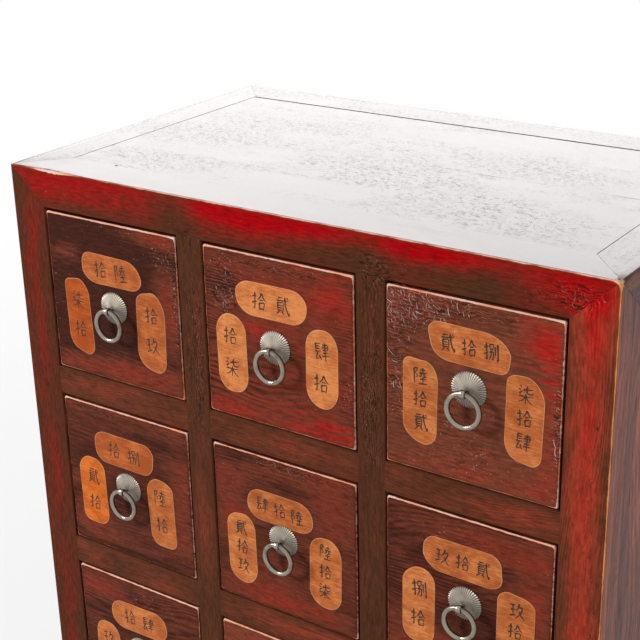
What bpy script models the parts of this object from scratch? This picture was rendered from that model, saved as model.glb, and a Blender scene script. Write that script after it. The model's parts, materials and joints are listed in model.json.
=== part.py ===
"""An apothecary chest: a mitred frame round a grid of drawers, each drawer with a ring pull.

Metres, +Z up. The front faces -Y and the origin is on the floor, at the middle of the chest's box.
"""

import math

import bmesh
import bpy
from mathutils import Vector

# Front grid
COLUMNS = 3
ROWS = 3
OPENING_WIDTH = 0.188
OPENING_HEIGHT = 0.191
MID_STILE_WIDTH = 0.032
MID_RAIL_HEIGHT = 0.034
GRID_DEPTH = 0.030

# Outer frame
DEPTH = 0.443
POST_WIDTH = 0.046
POST_DEPTH = 0.052
TOP_RAIL_HEIGHT = 0.043
BOTTOM_RAIL_HEIGHT = 0.044
BOTTOM_RAIL_THICKNESS = 0.036
FOOT_HEIGHT = 0.072

# Joinery
FIT_GAP = 0.0003
MITRE_GAP = 0.0002
TENON_LENGTH = 0.020
TENON_THICKNESS = 0.012
TENON_SHOULDER = 0.009
TENON_ROOT = 0.006
CORNER_TENON = 0.014
CORNER_TENON_COVER = 0.012
CORNER_TENON_PLACE = 0.6

# Panels that float in grooves
TOP_PANEL_THICKNESS = 0.018
SIDE_PANEL_THICKNESS = 0.014
BACK_PANEL_THICKNESS = 0.012
PANEL_SETBACK = 0.0008
PANEL_GAP = 0.0008
TONGUE_LENGTH = 0.009
TONGUE_THICKNESS = 0.006

# Shelves that the drawers run on
SHELF_THICKNESS = 0.012
SHELF_REBATE = 0.008
SHELF_HOUSING = 0.005
GUIDE_HEIGHT = 0.024
GUIDE_PLAY = 0.0008

# Drawers, which sit a little to the left in their openings
DRAWER_SHIFT = 0.0011
FRONT_THICKNESS = 0.018
FRONT_RECESS = 0.0015
FRONT_GAP_TOP = 0.0042
FRONT_GAP_SIDE = 0.0019
FRONT_GAP_BOTTOM = 0.0008
FRONT_EDGE_RADIUS = 0.003
FRONT_EDGE_SEGMENTS = 3
TRAY_CLEARANCE = 0.003
TRAY_HEIGHT = 0.160
TRAY_WALL = 0.010
TRAY_FLOOR = 0.007
TRAY_HOUSING = 0.008
TRAY_BACK_GAP = 0.014

# Ring pulls, set by eye: each row and column with its place right of and above the middle of the drawer
PULL_PLACE = (-0.0014, -0.0030)
PULL_PLACES = {
    (1, 1): (-0.0007, -0.0058),
    (1, 2): (-0.0033, -0.0041),
    (1, 3): (-0.0017, 0.0038),
    (2, 1): (-0.0012, -0.0036),
}
PLATE_RADIUS = 0.0190
PLATE_SCALLOPS = 44
SCALLOP_DEPTH = 0.0008
PLATE_RIM = 0.0010
PLATE_CROWN = 0.0030
EYE_REACH = 0.0115
EYE_STRIP = 0.0014
EYE_CLEARANCE = 0.0005
EYE_SIDES = 16
SHANK_WIDTH = 0.0052
SHANK_HEIGHT = 0.0032
SHANK_CLEARANCE = 0.0004
CLINCH_LENGTH = 0.012
CLINCH_THICKNESS = 0.0014
RING_RADIUS = 0.0170
WIRE_RADIUS = 0.0024
RING_STEPS = 28
WIRE_SIDES = 8

# Worked out from the sizes above
WIDTH = 2 * POST_WIDTH + COLUMNS * OPENING_WIDTH + (COLUMNS - 1) * MID_STILE_WIDTH
BASE_TOP = FOOT_HEIGHT + BOTTOM_RAIL_HEIGHT
FRAME_BOTTOM = BASE_TOP + ROWS * OPENING_HEIGHT + (ROWS - 1) * MID_RAIL_HEIGHT
HEIGHT = FRAME_BOTTOM + TOP_RAIL_HEIGHT
EYE_RADIUS = WIRE_RADIUS + EYE_CLEARANCE
PULL_REACH = EYE_REACH + EYE_RADIUS + EYE_STRIP - FRONT_RECESS
HALF_WIDTH = WIDTH / 2
FRONT_Y = (PULL_REACH - DEPTH) / 2
BACK_Y = FRONT_Y + DEPTH
BACK_PANEL_FACE = BACK_Y - PANEL_SETBACK - BACK_PANEL_THICKNESS
SIDE_PANEL_FACE = HALF_WIDTH - PANEL_SETBACK - SIDE_PANEL_THICKNESS
OVERSHOOT = 0.010

X, Y, Z = range(3)


def column_left(column):
    return -HALF_WIDTH + POST_WIDTH + column * (OPENING_WIDTH + MID_STILE_WIDTH)


def stile_middle(stile):
    return column_left(stile + 1) - MID_STILE_WIDTH / 2


def opening_top(row):
    return FRAME_BOTTOM - row * (OPENING_HEIGHT + MID_RAIL_HEIGHT)


def opening_bottom(row):
    return opening_top(row) - OPENING_HEIGHT


# Boxes are (lowest corner, highest corner)


def box(x, y, z):
    """A box from its ranges along X, Y and Z."""
    low, high = zip(x, y, z)
    return Vector(low), Vector(high)


def grown(shape, by=FIT_GAP):
    low, high = shape
    margin = Vector((by, by, by))
    return low - margin, high + margin


def stretched(shape, axis, side, by):
    """The box with one of its six faces moved out: side 0 is the low face, side 1 the high one."""
    low, high = shape[0].copy(), shape[1].copy()
    if side:
        high[axis] += by
    else:
        low[axis] -= by
    return low, high


# Making and joining solids


def clear_scene():
    for old in list(bpy.data.objects):
        bpy.data.objects.remove(old)


def finish(name, colour, roughness, metallic=0.0):
    made = bpy.data.materials.new(name)
    made.use_nodes = True
    shader = made.node_tree.nodes["Principled BSDF"]
    shader.inputs["Base Color"].default_value = (*colour, 1.0)
    shader.inputs["Roughness"].default_value = roughness
    shader.inputs["Metallic"].default_value = metallic
    return made


def place(name, mesh, parent=None, at=(0, 0, 0)):
    made = bpy.data.objects.new(name, mesh)
    made.location = at
    made.parent = parent
    bpy.context.scene.collection.objects.link(made)
    return made


def mesh_from(shape):
    """A mesh datablock from a bmesh, which it uses up."""
    mesh = bpy.data.meshes.new("shape")
    shape.to_mesh(mesh)
    shape.free()
    return mesh


def box_shape(ranges):
    low, high = ranges
    shape = bmesh.new()
    bmesh.ops.create_cube(shape, size=1.0)
    for vertex in shape.verts:
        vertex.co = Vector([high[i] if vertex.co[i] > 0 else low[i] for i in range(3)])
    return shape


def box_mesh(ranges):
    return mesh_from(box_shape(ranges))


def extruded_mesh(outline, low, high):
    """An upright prism over a plan outline, given counter-clockwise."""
    shape = bmesh.new()
    floor = shape.faces.new([shape.verts.new((x, y, low)) for x, y in outline])
    raised = bmesh.ops.extrude_face_region(shape, geom=[floor])["geom"]
    top = [part for part in raised if isinstance(part, bmesh.types.BMVert)]
    bmesh.ops.translate(shape, verts=top, vec=(0, 0, high - low))
    bmesh.ops.recalc_face_normals(shape, faces=shape.faces[:])
    return mesh_from(shape)


def combine(mesh, operation, others):
    """The mesh joined with ("UNION") or cut by ("DIFFERENCE") the other meshes, one after another."""
    base = place("base", mesh)
    helpers = [place("helper", other) for other in others]
    for helper in helpers:
        step = base.modifiers.new(operation.lower(), "BOOLEAN")
        step.operation = operation
        step.object = helper
    bpy.context.view_layer.update()
    ready = base.evaluated_get(bpy.context.evaluated_depsgraph_get())
    made = bpy.data.meshes.new_from_object(ready)
    for done in [base, *helpers]:
        bpy.data.objects.remove(done)
    return made


def joined(mesh, *others):
    return combine(mesh, "UNION", others)


def cut(piece, *boxes):
    """Cuts boxes out of a piece that is already in place, with its origin at the world's."""
    piece.data = combine(piece.data, "DIFFERENCE", [box_mesh(each) for each in boxes])


def board(name, mesh, material, parent):
    made = place(name, mesh, parent)
    made.data.materials.clear()
    made.data.materials.append(material)
    return made


# The outer frame


def mitred_mesh(ranges, axis, outer, insets):
    """A bar whose outer edge runs out to the corner of the frame, while its three other edges stop
    short by the inset, as in a three-way mitre. outer gives the sides that the outer edge lies on,
    and insets maps each mitred end (0 low, 1 high) to how far the other edges stop short."""
    low, high = ranges
    shape = box_shape(ranges)
    shape.verts.ensure_lookup_table()
    middle = (low + high) / 2
    across = [i for i in range(3) if i != axis]
    for end, inset in insets.items():
        tips = [v for v in shape.verts if (v.co[axis] > middle[axis]) == bool(end)]
        side = {v: tuple(int(v.co[i] > middle[i]) for i in across) for v in tips}
        inward = -1 if end else 1
        for vertex in tips:
            short = MITRE_GAP if side[vertex] == outer else inset + MITRE_GAP
            vertex.co[axis] += inward * short
        far = tuple(1 - s for s in outer)
        ridge = [v for v in tips if side[v] in (outer, far)]
        bmesh.ops.connect_verts(shape, verts=ridge)
    return mesh_from(shape)


def posts(material, parent):
    """The four corner posts, keyed by their side: (0 left or 1 right, 0 front or 1 back)."""
    made = {}
    for side in (0, 1):
        for rear in (0, 1):
            x = (HALF_WIDTH - POST_WIDTH, HALF_WIDTH) if side else (-HALF_WIDTH, POST_WIDTH - HALF_WIDTH)
            y = (BACK_Y - POST_DEPTH, BACK_Y) if rear else (FRONT_Y, FRONT_Y + POST_DEPTH)
            mesh = mitred_mesh(box(x, y, (0, HEIGHT)), Z, (side, rear), {1: TOP_RAIL_HEIGHT})
            mesh = joined(mesh, box_mesh(corner_tenon(side, rear)))
            name = f"{('front', 'back')[rear]}_{('left', 'right')[side]}_post"
            made[side, rear] = board(name, mesh, material, parent)
    return made


def corner_tenon(side, rear):
    """The square tenon on a post's head, which holds both top rails."""
    half = CORNER_TENON / 2
    x = (1 if side else -1) * (HALF_WIDTH - CORNER_TENON_PLACE * POST_WIDTH)
    inset = CORNER_TENON_PLACE * POST_DEPTH
    y = BACK_Y - inset if rear else FRONT_Y + inset
    bottom = HEIGHT - TOP_RAIL_HEIGHT - TENON_ROOT
    return box((x - half, x + half), (y - half, y + half), (bottom, HEIGHT - CORNER_TENON_COVER))


def top_rails(material, parent):
    """The four mitred rails round the top, keyed front, back, left and right."""
    z = (HEIGHT - TOP_RAIL_HEIGHT, HEIGHT)
    along_x = {0: POST_WIDTH, 1: POST_WIDTH}
    along_y = {0: POST_DEPTH, 1: POST_DEPTH}
    whole_x, whole_y = (-HALF_WIDTH, HALF_WIDTH), (FRONT_Y, BACK_Y)
    plans = {
        "front": (box(whole_x, (FRONT_Y, FRONT_Y + POST_DEPTH), z), X, (0, 1), along_x),
        "back": (box(whole_x, (BACK_Y - POST_DEPTH, BACK_Y), z), X, (1, 1), along_x),
        "left": (box((-HALF_WIDTH, POST_WIDTH - HALF_WIDTH), whole_y, z), Y, (0, 1), along_y),
        "right": (box((HALF_WIDTH - POST_WIDTH, HALF_WIDTH), whole_y, z), Y, (1, 1), along_y),
    }
    made = {
        side: board(f"top_{side}_rail", mitred_mesh(*plan), material, parent) for side, plan in plans.items()
    }
    for side, name in enumerate(("left", "right")):
        for rear, other in enumerate(("front", "back")):
            mortise = grown(corner_tenon(side, rear))
            cut(made[name], mortise)
            cut(made[other], mortise)
    return made


def tenoned_bar(name, ranges, axis, mates, material, parent):
    """A bar between two mates, low end first, with a tenon at each end let into a mortise in its mate."""
    low, high = ranges
    middle = (low + high) / 2
    across = [i for i in range(3) if i not in (axis, Y)] if axis != Y else [Z]
    thin = Y if axis != Y else X
    tenons = []
    for end, mate in enumerate(mates):
        tenon = (low.copy(), high.copy())
        for i in across:
            tenon[0][i] += TENON_SHOULDER
            tenon[1][i] -= TENON_SHOULDER
        tenon[0][thin] = middle[thin] - TENON_THICKNESS / 2
        tenon[1][thin] = middle[thin] + TENON_THICKNESS / 2
        tip, root = (1, 0) if end else (0, 1)
        tenon[root][axis] = ranges[end][axis] + (-TENON_ROOT if end else TENON_ROOT)
        tenon[tip][axis] = ranges[end][axis] + (TENON_LENGTH if end else -TENON_LENGTH)
        tenons.append(tenon)
        cut(mate, grown(tenon))
    body = stretched(stretched(ranges, axis, 0, -FIT_GAP), axis, 1, -FIT_GAP)
    mesh = joined(box_mesh(body), *[box_mesh(each) for each in tenons])
    return board(name, mesh, material, parent)


def bottom_rails(corner, material, parent):
    z = (FOOT_HEIGHT, BASE_TOP)
    inside = (POST_WIDTH - HALF_WIDTH, HALF_WIDTH - POST_WIDTH)
    between = (FRONT_Y + POST_DEPTH, BACK_Y - POST_DEPTH)
    thick = BOTTOM_RAIL_THICKNESS
    plans = {
        "front": (box(inside, (FRONT_Y, FRONT_Y + thick), z), X, [(0, 0), (1, 0)]),
        "back": (box(inside, (BACK_Y - thick, BACK_Y), z), X, [(0, 1), (1, 1)]),
        "left": (box((-HALF_WIDTH, thick - HALF_WIDTH), between, z), Y, [(0, 0), (0, 1)]),
        "right": (box((HALF_WIDTH - thick, HALF_WIDTH), between, z), Y, [(1, 0), (1, 1)]),
    }
    return {
        side: tenoned_bar(f"bottom_{side}_rail", ranges, axis, [corner[e] for e in ends], material, parent)
        for side, (ranges, axis, ends) in plans.items()
    }


# The front grid


def mid_rail_ranges(rail):
    inside = (POST_WIDTH - HALF_WIDTH, HALF_WIDTH - POST_WIDTH)
    return box(inside, (FRONT_Y, FRONT_Y + GRID_DEPTH), (opening_top(rail + 1), opening_bottom(rail)))


def mid_stile_ranges(stile):
    x = stile_middle(stile)
    half = MID_STILE_WIDTH / 2
    return box((x - half, x + half), (FRONT_Y, FRONT_Y + GRID_DEPTH), (BASE_TOP, FRAME_BOTTOM))


def front_grid(corner, top, bottom, material, parent):
    """Stiles and rails that cross in halved joints: the stile keeps the front half, the rail the back."""
    rails = [
        tenoned_bar(f"mid_rail_{i + 1}", mid_rail_ranges(i), X, [corner[0, 0], corner[1, 0]], material, parent)
        for i in range(ROWS - 1)
    ]
    stiles = [
        tenoned_bar(f"mid_stile_{i + 1}", mid_stile_ranges(i), Z, [bottom, top], material, parent)
        for i in range(COLUMNS - 1)
    ]
    half_y = FRONT_Y + GRID_DEPTH / 2
    front_half = (FRONT_Y - OVERSHOOT, half_y + FIT_GAP / 2)
    back_half = (half_y - FIT_GAP / 2, FRONT_Y + GRID_DEPTH + OVERSHOOT)
    for i, stile in enumerate(stiles):
        for j, rail in enumerate(rails):
            stile_low, stile_high = grown(mid_stile_ranges(i))
            rail_low, rail_high = grown(mid_rail_ranges(j))
            across = (stile_low.x, stile_high.x)
            upright = (rail_low.z, rail_high.z)
            cut(rail, box(across, front_half, (rail_low.z - OVERSHOOT, rail_high.z + OVERSHOOT)))
            cut(stile, box((stile_low.x - OVERSHOOT, stile_high.x + OVERSHOOT), back_half, upright))
    return rails, stiles


# Panels


def floating_panel(name, ranges, normal, mates, material, parent, glued=()):
    """A panel with a tongue round its edges, let into grooves in its mates. A glued edge, given as
    (axis, side), has no tongue of its own."""
    low, high = ranges
    middle = (low + high) / 2
    tongue = (low.copy(), high.copy())
    tongue[0][normal] = middle[normal] - TONGUE_THICKNESS / 2
    tongue[1][normal] = middle[normal] + TONGUE_THICKNESS / 2
    for axis in (i for i in range(3) if i != normal):
        for side in (0, 1):
            out = -TENON_ROOT if (axis, side) in glued else TONGUE_LENGTH
            tongue = stretched(tongue, axis, side, out)
    for mate in mates:
        cut(mate, grown(tongue))
    return board(name, joined(box_mesh(ranges), box_mesh(tongue)), material, parent)


def top_panel(rails, material, parent):
    """Two boards flush with the top frame. The front board's tongue also joins the two."""
    inside = HALF_WIDTH - POST_WIDTH - PANEL_GAP
    start, end = FRONT_Y + POST_DEPTH + PANEL_GAP, BACK_Y - POST_DEPTH - PANEL_GAP
    seam = (start + end) / 2
    z = (HEIGHT - TOP_PANEL_THICKNESS, HEIGHT)
    x = (-inside, inside)
    back = floating_panel(
        "top_panel_back_board",
        box(x, (seam + FIT_GAP, end), z),
        Z,
        [rails["back"], rails["left"], rails["right"]],
        material,
        parent,
        glued=[(Y, 0)],
    )
    floating_panel(
        "top_panel_front_board",
        box(x, (start, seam), z),
        Z,
        [rails["front"], rails["left"], rails["right"], back],
        material,
        parent,
    )


def upright_panels(corner, top, bottom, material, back_material, parent):
    """The side panels, keyed by side (0 left, 1 right), and the back panel."""
    z = (BASE_TOP + PANEL_GAP, FRAME_BOTTOM - PANEL_GAP)
    y = (FRONT_Y + POST_DEPTH + PANEL_GAP, BACK_Y - POST_DEPTH - PANEL_GAP)
    outside = HALF_WIDTH - PANEL_SETBACK
    sides = {}
    for side, name in enumerate(("left", "right")):
        x = (SIDE_PANEL_FACE, outside) if side else (-outside, -SIDE_PANEL_FACE)
        mates = [corner[side, 0], corner[side, 1], top[name], bottom[name]]
        sides[side] = floating_panel(f"{name}_side_panel", box(x, y, z), X, mates, material, parent)
    inside = HALF_WIDTH - POST_WIDTH - PANEL_GAP
    ranges = box((-inside, inside), (BACK_PANEL_FACE, BACK_Y - PANEL_SETBACK), z)
    mates = [corner[0, 1], corner[1, 1], top["back"], bottom["back"]]
    return sides, floating_panel("back_panel", ranges, Y, mates, back_material, parent)


# Shelves


def shelf_outline(front, back, side):
    """A board between the posts, with a wing on each side that reaches out between front and back post."""
    neck = HALF_WIDTH - POST_WIDTH - FIT_GAP
    wing_front, wing_back = FRONT_Y + POST_DEPTH + FIT_GAP, BACK_Y - POST_DEPTH - FIT_GAP
    right = [(neck, front), (neck, wing_front), (side, wing_front), (side, wing_back), (neck, wing_back), (neck, back)]
    return right + [(-x, y) for x, y in reversed(right)]


def shelf(name, row, front, back, side, mates, material, parent):
    """The board under a row, with a guide strip on it between each two drawers."""
    top = opening_bottom(row)
    z = (top - SHELF_THICKNESS, top)
    half = MID_STILE_WIDTH / 2 + TRAY_CLEARANCE - GUIDE_PLAY
    guide_y = (max(FRONT_Y + GRID_DEPTH, front) + FIT_GAP, min(BACK_PANEL_FACE, back) - FIT_GAP)
    middles = [stile_middle(i) - DRAWER_SHIFT for i in range(COLUMNS - 1)]
    guide_z = (top - SHELF_THICKNESS / 2, top + GUIDE_HEIGHT)
    guides = [box((middle - half, middle + half), guide_y, guide_z) for middle in middles]
    neck = HALF_WIDTH - POST_WIDTH - FIT_GAP
    wing_y = (FRONT_Y + POST_DEPTH + FIT_GAP, BACK_Y - POST_DEPTH - FIT_GAP)
    core, wings = box((-neck, neck), (front, back), z), box((-side, side), wing_y, z)
    for mate in mates:
        cut(mate, grown(core), grown(wings))
    mesh = joined(extruded_mesh(shelf_outline(front, back, side), *z), *[box_mesh(each) for each in guides])
    return board(name, mesh, material, parent)


def shelves(rails, sides, back, bottom, material, parent):
    for i, rail in enumerate(rails):
        shelf(
            f"shelf_{i + 1}",
            i,
            FRONT_Y + GRID_DEPTH - SHELF_REBATE,
            BACK_PANEL_FACE + SHELF_HOUSING,
            SIDE_PANEL_FACE + SHELF_HOUSING,
            [rail, back, sides[0], sides[1]],
            material,
            parent,
        )
    shelf(
        "bottom_board",
        ROWS - 1,
        FRONT_Y + BOTTOM_RAIL_THICKNESS - SHELF_REBATE,
        BACK_Y - BOTTOM_RAIL_THICKNESS + SHELF_REBATE,
        HALF_WIDTH - BOTTOM_RAIL_THICKNESS + SHELF_REBATE,
        list(bottom.values()),
        material,
        parent,
    )


# Drawers. Front and tray are drawn about the middle of the drawer, plate and ring about the pull's own place,
# with the drawer's face at Y = 0


def tray_ranges():
    half = OPENING_WIDTH / 2 - TRAY_CLEARANCE
    end = BACK_PANEL_FACE - TRAY_BACK_GAP - FRONT_Y - FRONT_RECESS
    bottom = FIT_GAP - OPENING_HEIGHT / 2
    return box((-half, half), (FRONT_THICKNESS - TRAY_HOUSING, end), (bottom, bottom + TRAY_HEIGHT))


def tray_hollow():
    """The space inside the tray, run out past its open top and front."""
    low, high = tray_ranges()
    x = (low.x + TRAY_WALL, high.x - TRAY_WALL)
    return box(x, (low.y - OVERSHOOT, high.y - TRAY_WALL), (low.z + TRAY_FLOOR, high.z + OVERSHOOT))


def tray_mesh():
    return combine(box_mesh(tray_ranges()), "DIFFERENCE", [box_mesh(tray_hollow())])


def shank_ranges(margin=0.0):
    half_width, half_height = SHANK_WIDTH / 2 + margin, SHANK_HEIGHT / 2 + margin
    start = -EYE_REACH + EYE_RADIUS + EYE_STRIP / 2
    end = FRONT_THICKNESS + FIT_GAP + CLINCH_THICKNESS / 2
    return box((-half_width, half_width), (start, end), (-half_height, half_height))


def front_mesh(pull):
    """The drawer front: rounded towards the room, grooved behind for the tray, bored for the pull."""
    half = OPENING_WIDTH / 2 - FRONT_GAP_SIDE
    z = (FRONT_GAP_BOTTOM - OPENING_HEIGHT / 2, OPENING_HEIGHT / 2 - FRONT_GAP_TOP)
    shape = box_shape(box((-half, half), (0, FRONT_THICKNESS), z))
    rim = [e for e in shape.edges if all(v.co.y < FRONT_THICKNESS / 2 for v in e.verts)]
    bmesh.ops.bevel(
        shape, geom=rim, offset=FRONT_EDGE_RADIUS, segments=FRONT_EDGE_SEGMENTS, profile=0.5, affect="EDGES"
    )
    low, high = grown(tray_ranges())
    inner_low, inner_high = grown(tray_hollow(), -FIT_GAP)
    y = (low.y, FRONT_THICKNESS + OVERSHOOT)
    grooves = [
        box((low.x, inner_low.x), y, (low.z - OVERSHOOT, high.z)),
        box((inner_high.x, high.x), y, (low.z - OVERSHOOT, high.z)),
        box((low.x + TRAY_WALL / 2, high.x - TRAY_WALL / 2), y, (low.z - OVERSHOOT, inner_low.z)),
    ]
    low, high = shank_ranges(SHANK_CLEARANCE)
    x, z = pull
    bore_y = (-OVERSHOOT, FRONT_THICKNESS + OVERSHOOT)
    bore = box((low.x + x, high.x + x), bore_y, (low.z + z, high.z + z))
    return combine(mesh_from(shape), "DIFFERENCE", [box_mesh(each) for each in [*grooves, bore]])


def plate_mesh():
    """The scalloped back plate, flat behind and crowned in front, with its staple: an eye for the ring,
    a shank through the drawer front and legs clinched behind it."""
    shape = bmesh.new()
    crown = shape.verts.new((0, -FIT_GAP - PLATE_CROWN, 0))
    flat = shape.verts.new((0, -FIT_GAP, 0))
    front_rim, back_rim = [], []
    for i in range(2 * PLATE_SCALLOPS):
        turn = math.pi * i / PLATE_SCALLOPS
        radius = PLATE_RADIUS - SCALLOP_DEPTH * (i % 2)
        x, z = radius * math.cos(turn), radius * math.sin(turn)
        front_rim.append(shape.verts.new((x, -FIT_GAP - PLATE_RIM, z)))
        back_rim.append(shape.verts.new((x, -FIT_GAP, z)))
    for i in range(2 * PLATE_SCALLOPS):
        shape.faces.new((crown, front_rim[i - 1], front_rim[i]))
        shape.faces.new((flat, back_rim[i], back_rim[i - 1]))
        shape.faces.new((front_rim[i], front_rim[i - 1], back_rim[i - 1], back_rim[i]))
    bmesh.ops.recalc_face_normals(shape, faces=shape.faces[:])
    half_width = SHANK_WIDTH / 2
    clinch_y = (FRONT_THICKNESS + FIT_GAP, FRONT_THICKNESS + FIT_GAP + CLINCH_THICKNESS)
    clinch = box((-half_width, half_width), clinch_y, (-CLINCH_LENGTH, CLINCH_LENGTH))
    return joined(mesh_from(shape), box_mesh(shank_ranges()), box_mesh(clinch), eye_mesh())


def eye_mesh():
    """A short tube across the drawer, EYE_REACH in front of its face."""
    shape = bmesh.new()
    loops = []
    for radius in (EYE_RADIUS, EYE_RADIUS + EYE_STRIP):
        for x in (-SHANK_WIDTH / 2, SHANK_WIDTH / 2):
            turns = [2 * math.pi * i / EYE_SIDES for i in range(EYE_SIDES)]
            loops.append(
                [shape.verts.new((x, -EYE_REACH - radius * math.cos(t), radius * math.sin(t))) for t in turns]
            )
    inner_left, inner_right, outer_left, outer_right = loops
    walls = ((inner_left, inner_right), (inner_right, outer_right), (outer_right, outer_left), (outer_left, inner_left))
    for first, second in walls:
        for i in range(EYE_SIDES):
            shape.faces.new((first[i - 1], first[i], second[i], second[i - 1]))
    bmesh.ops.recalc_face_normals(shape, faces=shape.faces[:])
    return mesh_from(shape)


def ring_mesh():
    """A wire ring hanging from its origin, which is the middle of the wire in the staple's eye."""
    shape = bmesh.new()
    rounds = []
    for i in range(RING_STEPS):
        turn = 2 * math.pi * i / RING_STEPS
        sides = []
        for j in range(WIRE_SIDES):
            lean = 2 * math.pi * j / WIRE_SIDES
            reach = RING_RADIUS + WIRE_RADIUS * math.cos(lean)
            x, z = reach * math.sin(turn), reach * math.cos(turn) - RING_RADIUS
            sides.append(shape.verts.new((x, WIRE_RADIUS * math.sin(lean), z)))
        rounds.append(sides)
    for i in range(RING_STEPS):
        for j in range(WIRE_SIDES):
            shape.faces.new((rounds[i - 1][j - 1], rounds[i - 1][j], rounds[i][j], rounds[i][j - 1]))
    bmesh.ops.recalc_face_normals(shape, faces=shape.faces[:])
    mesh = mesh_from(shape)
    mesh.shade_smooth()
    return mesh


def drawers(lacquer, wood, metal, parent):
    """One empty for each drawer, on its line of travel, which carries the drawer's four pieces."""
    shared = {"tray": tray_mesh(), "plate": plate_mesh(), "ring": ring_mesh()}
    finishes = {"front": lacquer, "tray": wood, "plate": metal, "ring": metal}
    for row in range(ROWS):
        for column in range(COLUMNS):
            name = f"drawer_r{row + 1}c{column + 1}"
            x, z = PULL_PLACES.get((row + 1, column + 1), PULL_PLACE)
            middle_x = column_left(column) + OPENING_WIDTH / 2 - DRAWER_SHIFT
            middle_z = opening_bottom(row) + OPENING_HEIGHT / 2
            runner = place(f"{name}_runner", None, parent, (middle_x, FRONT_Y + FRONT_RECESS, middle_z))
            places = {"plate": (x, 0, z), "ring": (x, -EYE_REACH, z)}
            for piece, mesh in {"front": front_mesh((x, z)), **shared}.items():
                mesh.materials.clear()
                mesh.materials.append(finishes[piece])
                place(f"{name}_{piece}", mesh, runner, places.get(piece, (0, 0, 0)))


def main():
    clear_scene()
    lacquer = finish("red_lacquer", (0.23, 0.022, 0.014), 0.30)
    dark = finish("dark_lacquer", (0.070, 0.028, 0.022), 0.28)
    wood = finish("bare_wood", (0.42, 0.27, 0.15), 0.70)
    metal = finish("white_brass", (0.52, 0.49, 0.42), 0.35, 1.0)
    chest = place("chest", None)
    corner = posts(lacquer, chest)
    top = top_rails(dark, chest)
    bottom = bottom_rails(corner, lacquer, chest)
    rails, _ = front_grid(corner, top["front"], bottom["front"], lacquer, chest)
    top_panel(top, dark, chest)
    sides, back = upright_panels(corner, top, bottom, dark, wood, chest)
    shelves(rails, sides, back, bottom, wood, chest)
    drawers(lacquer, wood, metal, chest)


main()
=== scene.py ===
"""Looks of the apothecary chest: worn red lacquer, bare wood inside, white brass pulls, pasted labels."""

import json
import math
import random

import bpy
import numpy as np
from mathutils import Matrix, Vector


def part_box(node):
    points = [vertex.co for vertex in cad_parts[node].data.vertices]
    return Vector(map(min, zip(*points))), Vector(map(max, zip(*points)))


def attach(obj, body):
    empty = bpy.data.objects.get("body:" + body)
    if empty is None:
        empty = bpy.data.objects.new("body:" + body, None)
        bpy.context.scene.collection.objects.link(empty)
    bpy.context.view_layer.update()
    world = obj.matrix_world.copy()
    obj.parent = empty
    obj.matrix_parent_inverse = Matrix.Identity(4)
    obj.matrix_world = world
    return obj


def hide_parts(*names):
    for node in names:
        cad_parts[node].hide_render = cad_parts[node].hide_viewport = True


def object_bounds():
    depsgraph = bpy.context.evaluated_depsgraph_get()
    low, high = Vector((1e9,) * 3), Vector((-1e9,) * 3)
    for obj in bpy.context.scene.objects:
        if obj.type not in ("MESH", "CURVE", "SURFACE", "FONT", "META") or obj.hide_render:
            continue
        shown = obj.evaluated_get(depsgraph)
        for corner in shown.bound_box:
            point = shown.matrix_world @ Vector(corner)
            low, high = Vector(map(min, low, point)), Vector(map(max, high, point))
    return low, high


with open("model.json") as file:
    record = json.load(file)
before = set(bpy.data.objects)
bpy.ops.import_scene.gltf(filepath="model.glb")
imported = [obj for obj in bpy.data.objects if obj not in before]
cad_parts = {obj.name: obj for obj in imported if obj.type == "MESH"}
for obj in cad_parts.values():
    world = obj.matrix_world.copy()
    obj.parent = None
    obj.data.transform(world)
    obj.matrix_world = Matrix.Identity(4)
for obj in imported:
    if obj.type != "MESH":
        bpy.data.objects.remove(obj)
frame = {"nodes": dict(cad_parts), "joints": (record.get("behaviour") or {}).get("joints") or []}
cad_low, cad_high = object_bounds()

X, Y, Z = range(3)
MM = 0.001
TURN = 2 * math.pi
WHITE = (1.0, 1.0, 1.0, 1.0)

# Measures taken from the frame
POST_LOW, POST_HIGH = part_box("front_left_post")
RAIL_LOW, RAIL_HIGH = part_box("top_front_rail")
POST_WIDTH = POST_HIGH.x - POST_LOW.x
POST_DEPTH = POST_HIGH.y - POST_LOW.y
TOP_RAIL = RAIL_HIGH.z - RAIL_LOW.z
HALF_WIDTH = cad_high.x
FRONT_Y = POST_LOW.y
BACK_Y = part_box("back_right_post")[1].y
TOP_Z = cad_high.z

# Shader graphs

EDGE_REACH = 4.0
LACQUER_IOR = 1.5
LACQUER_BUMP = 0.0008


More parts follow.
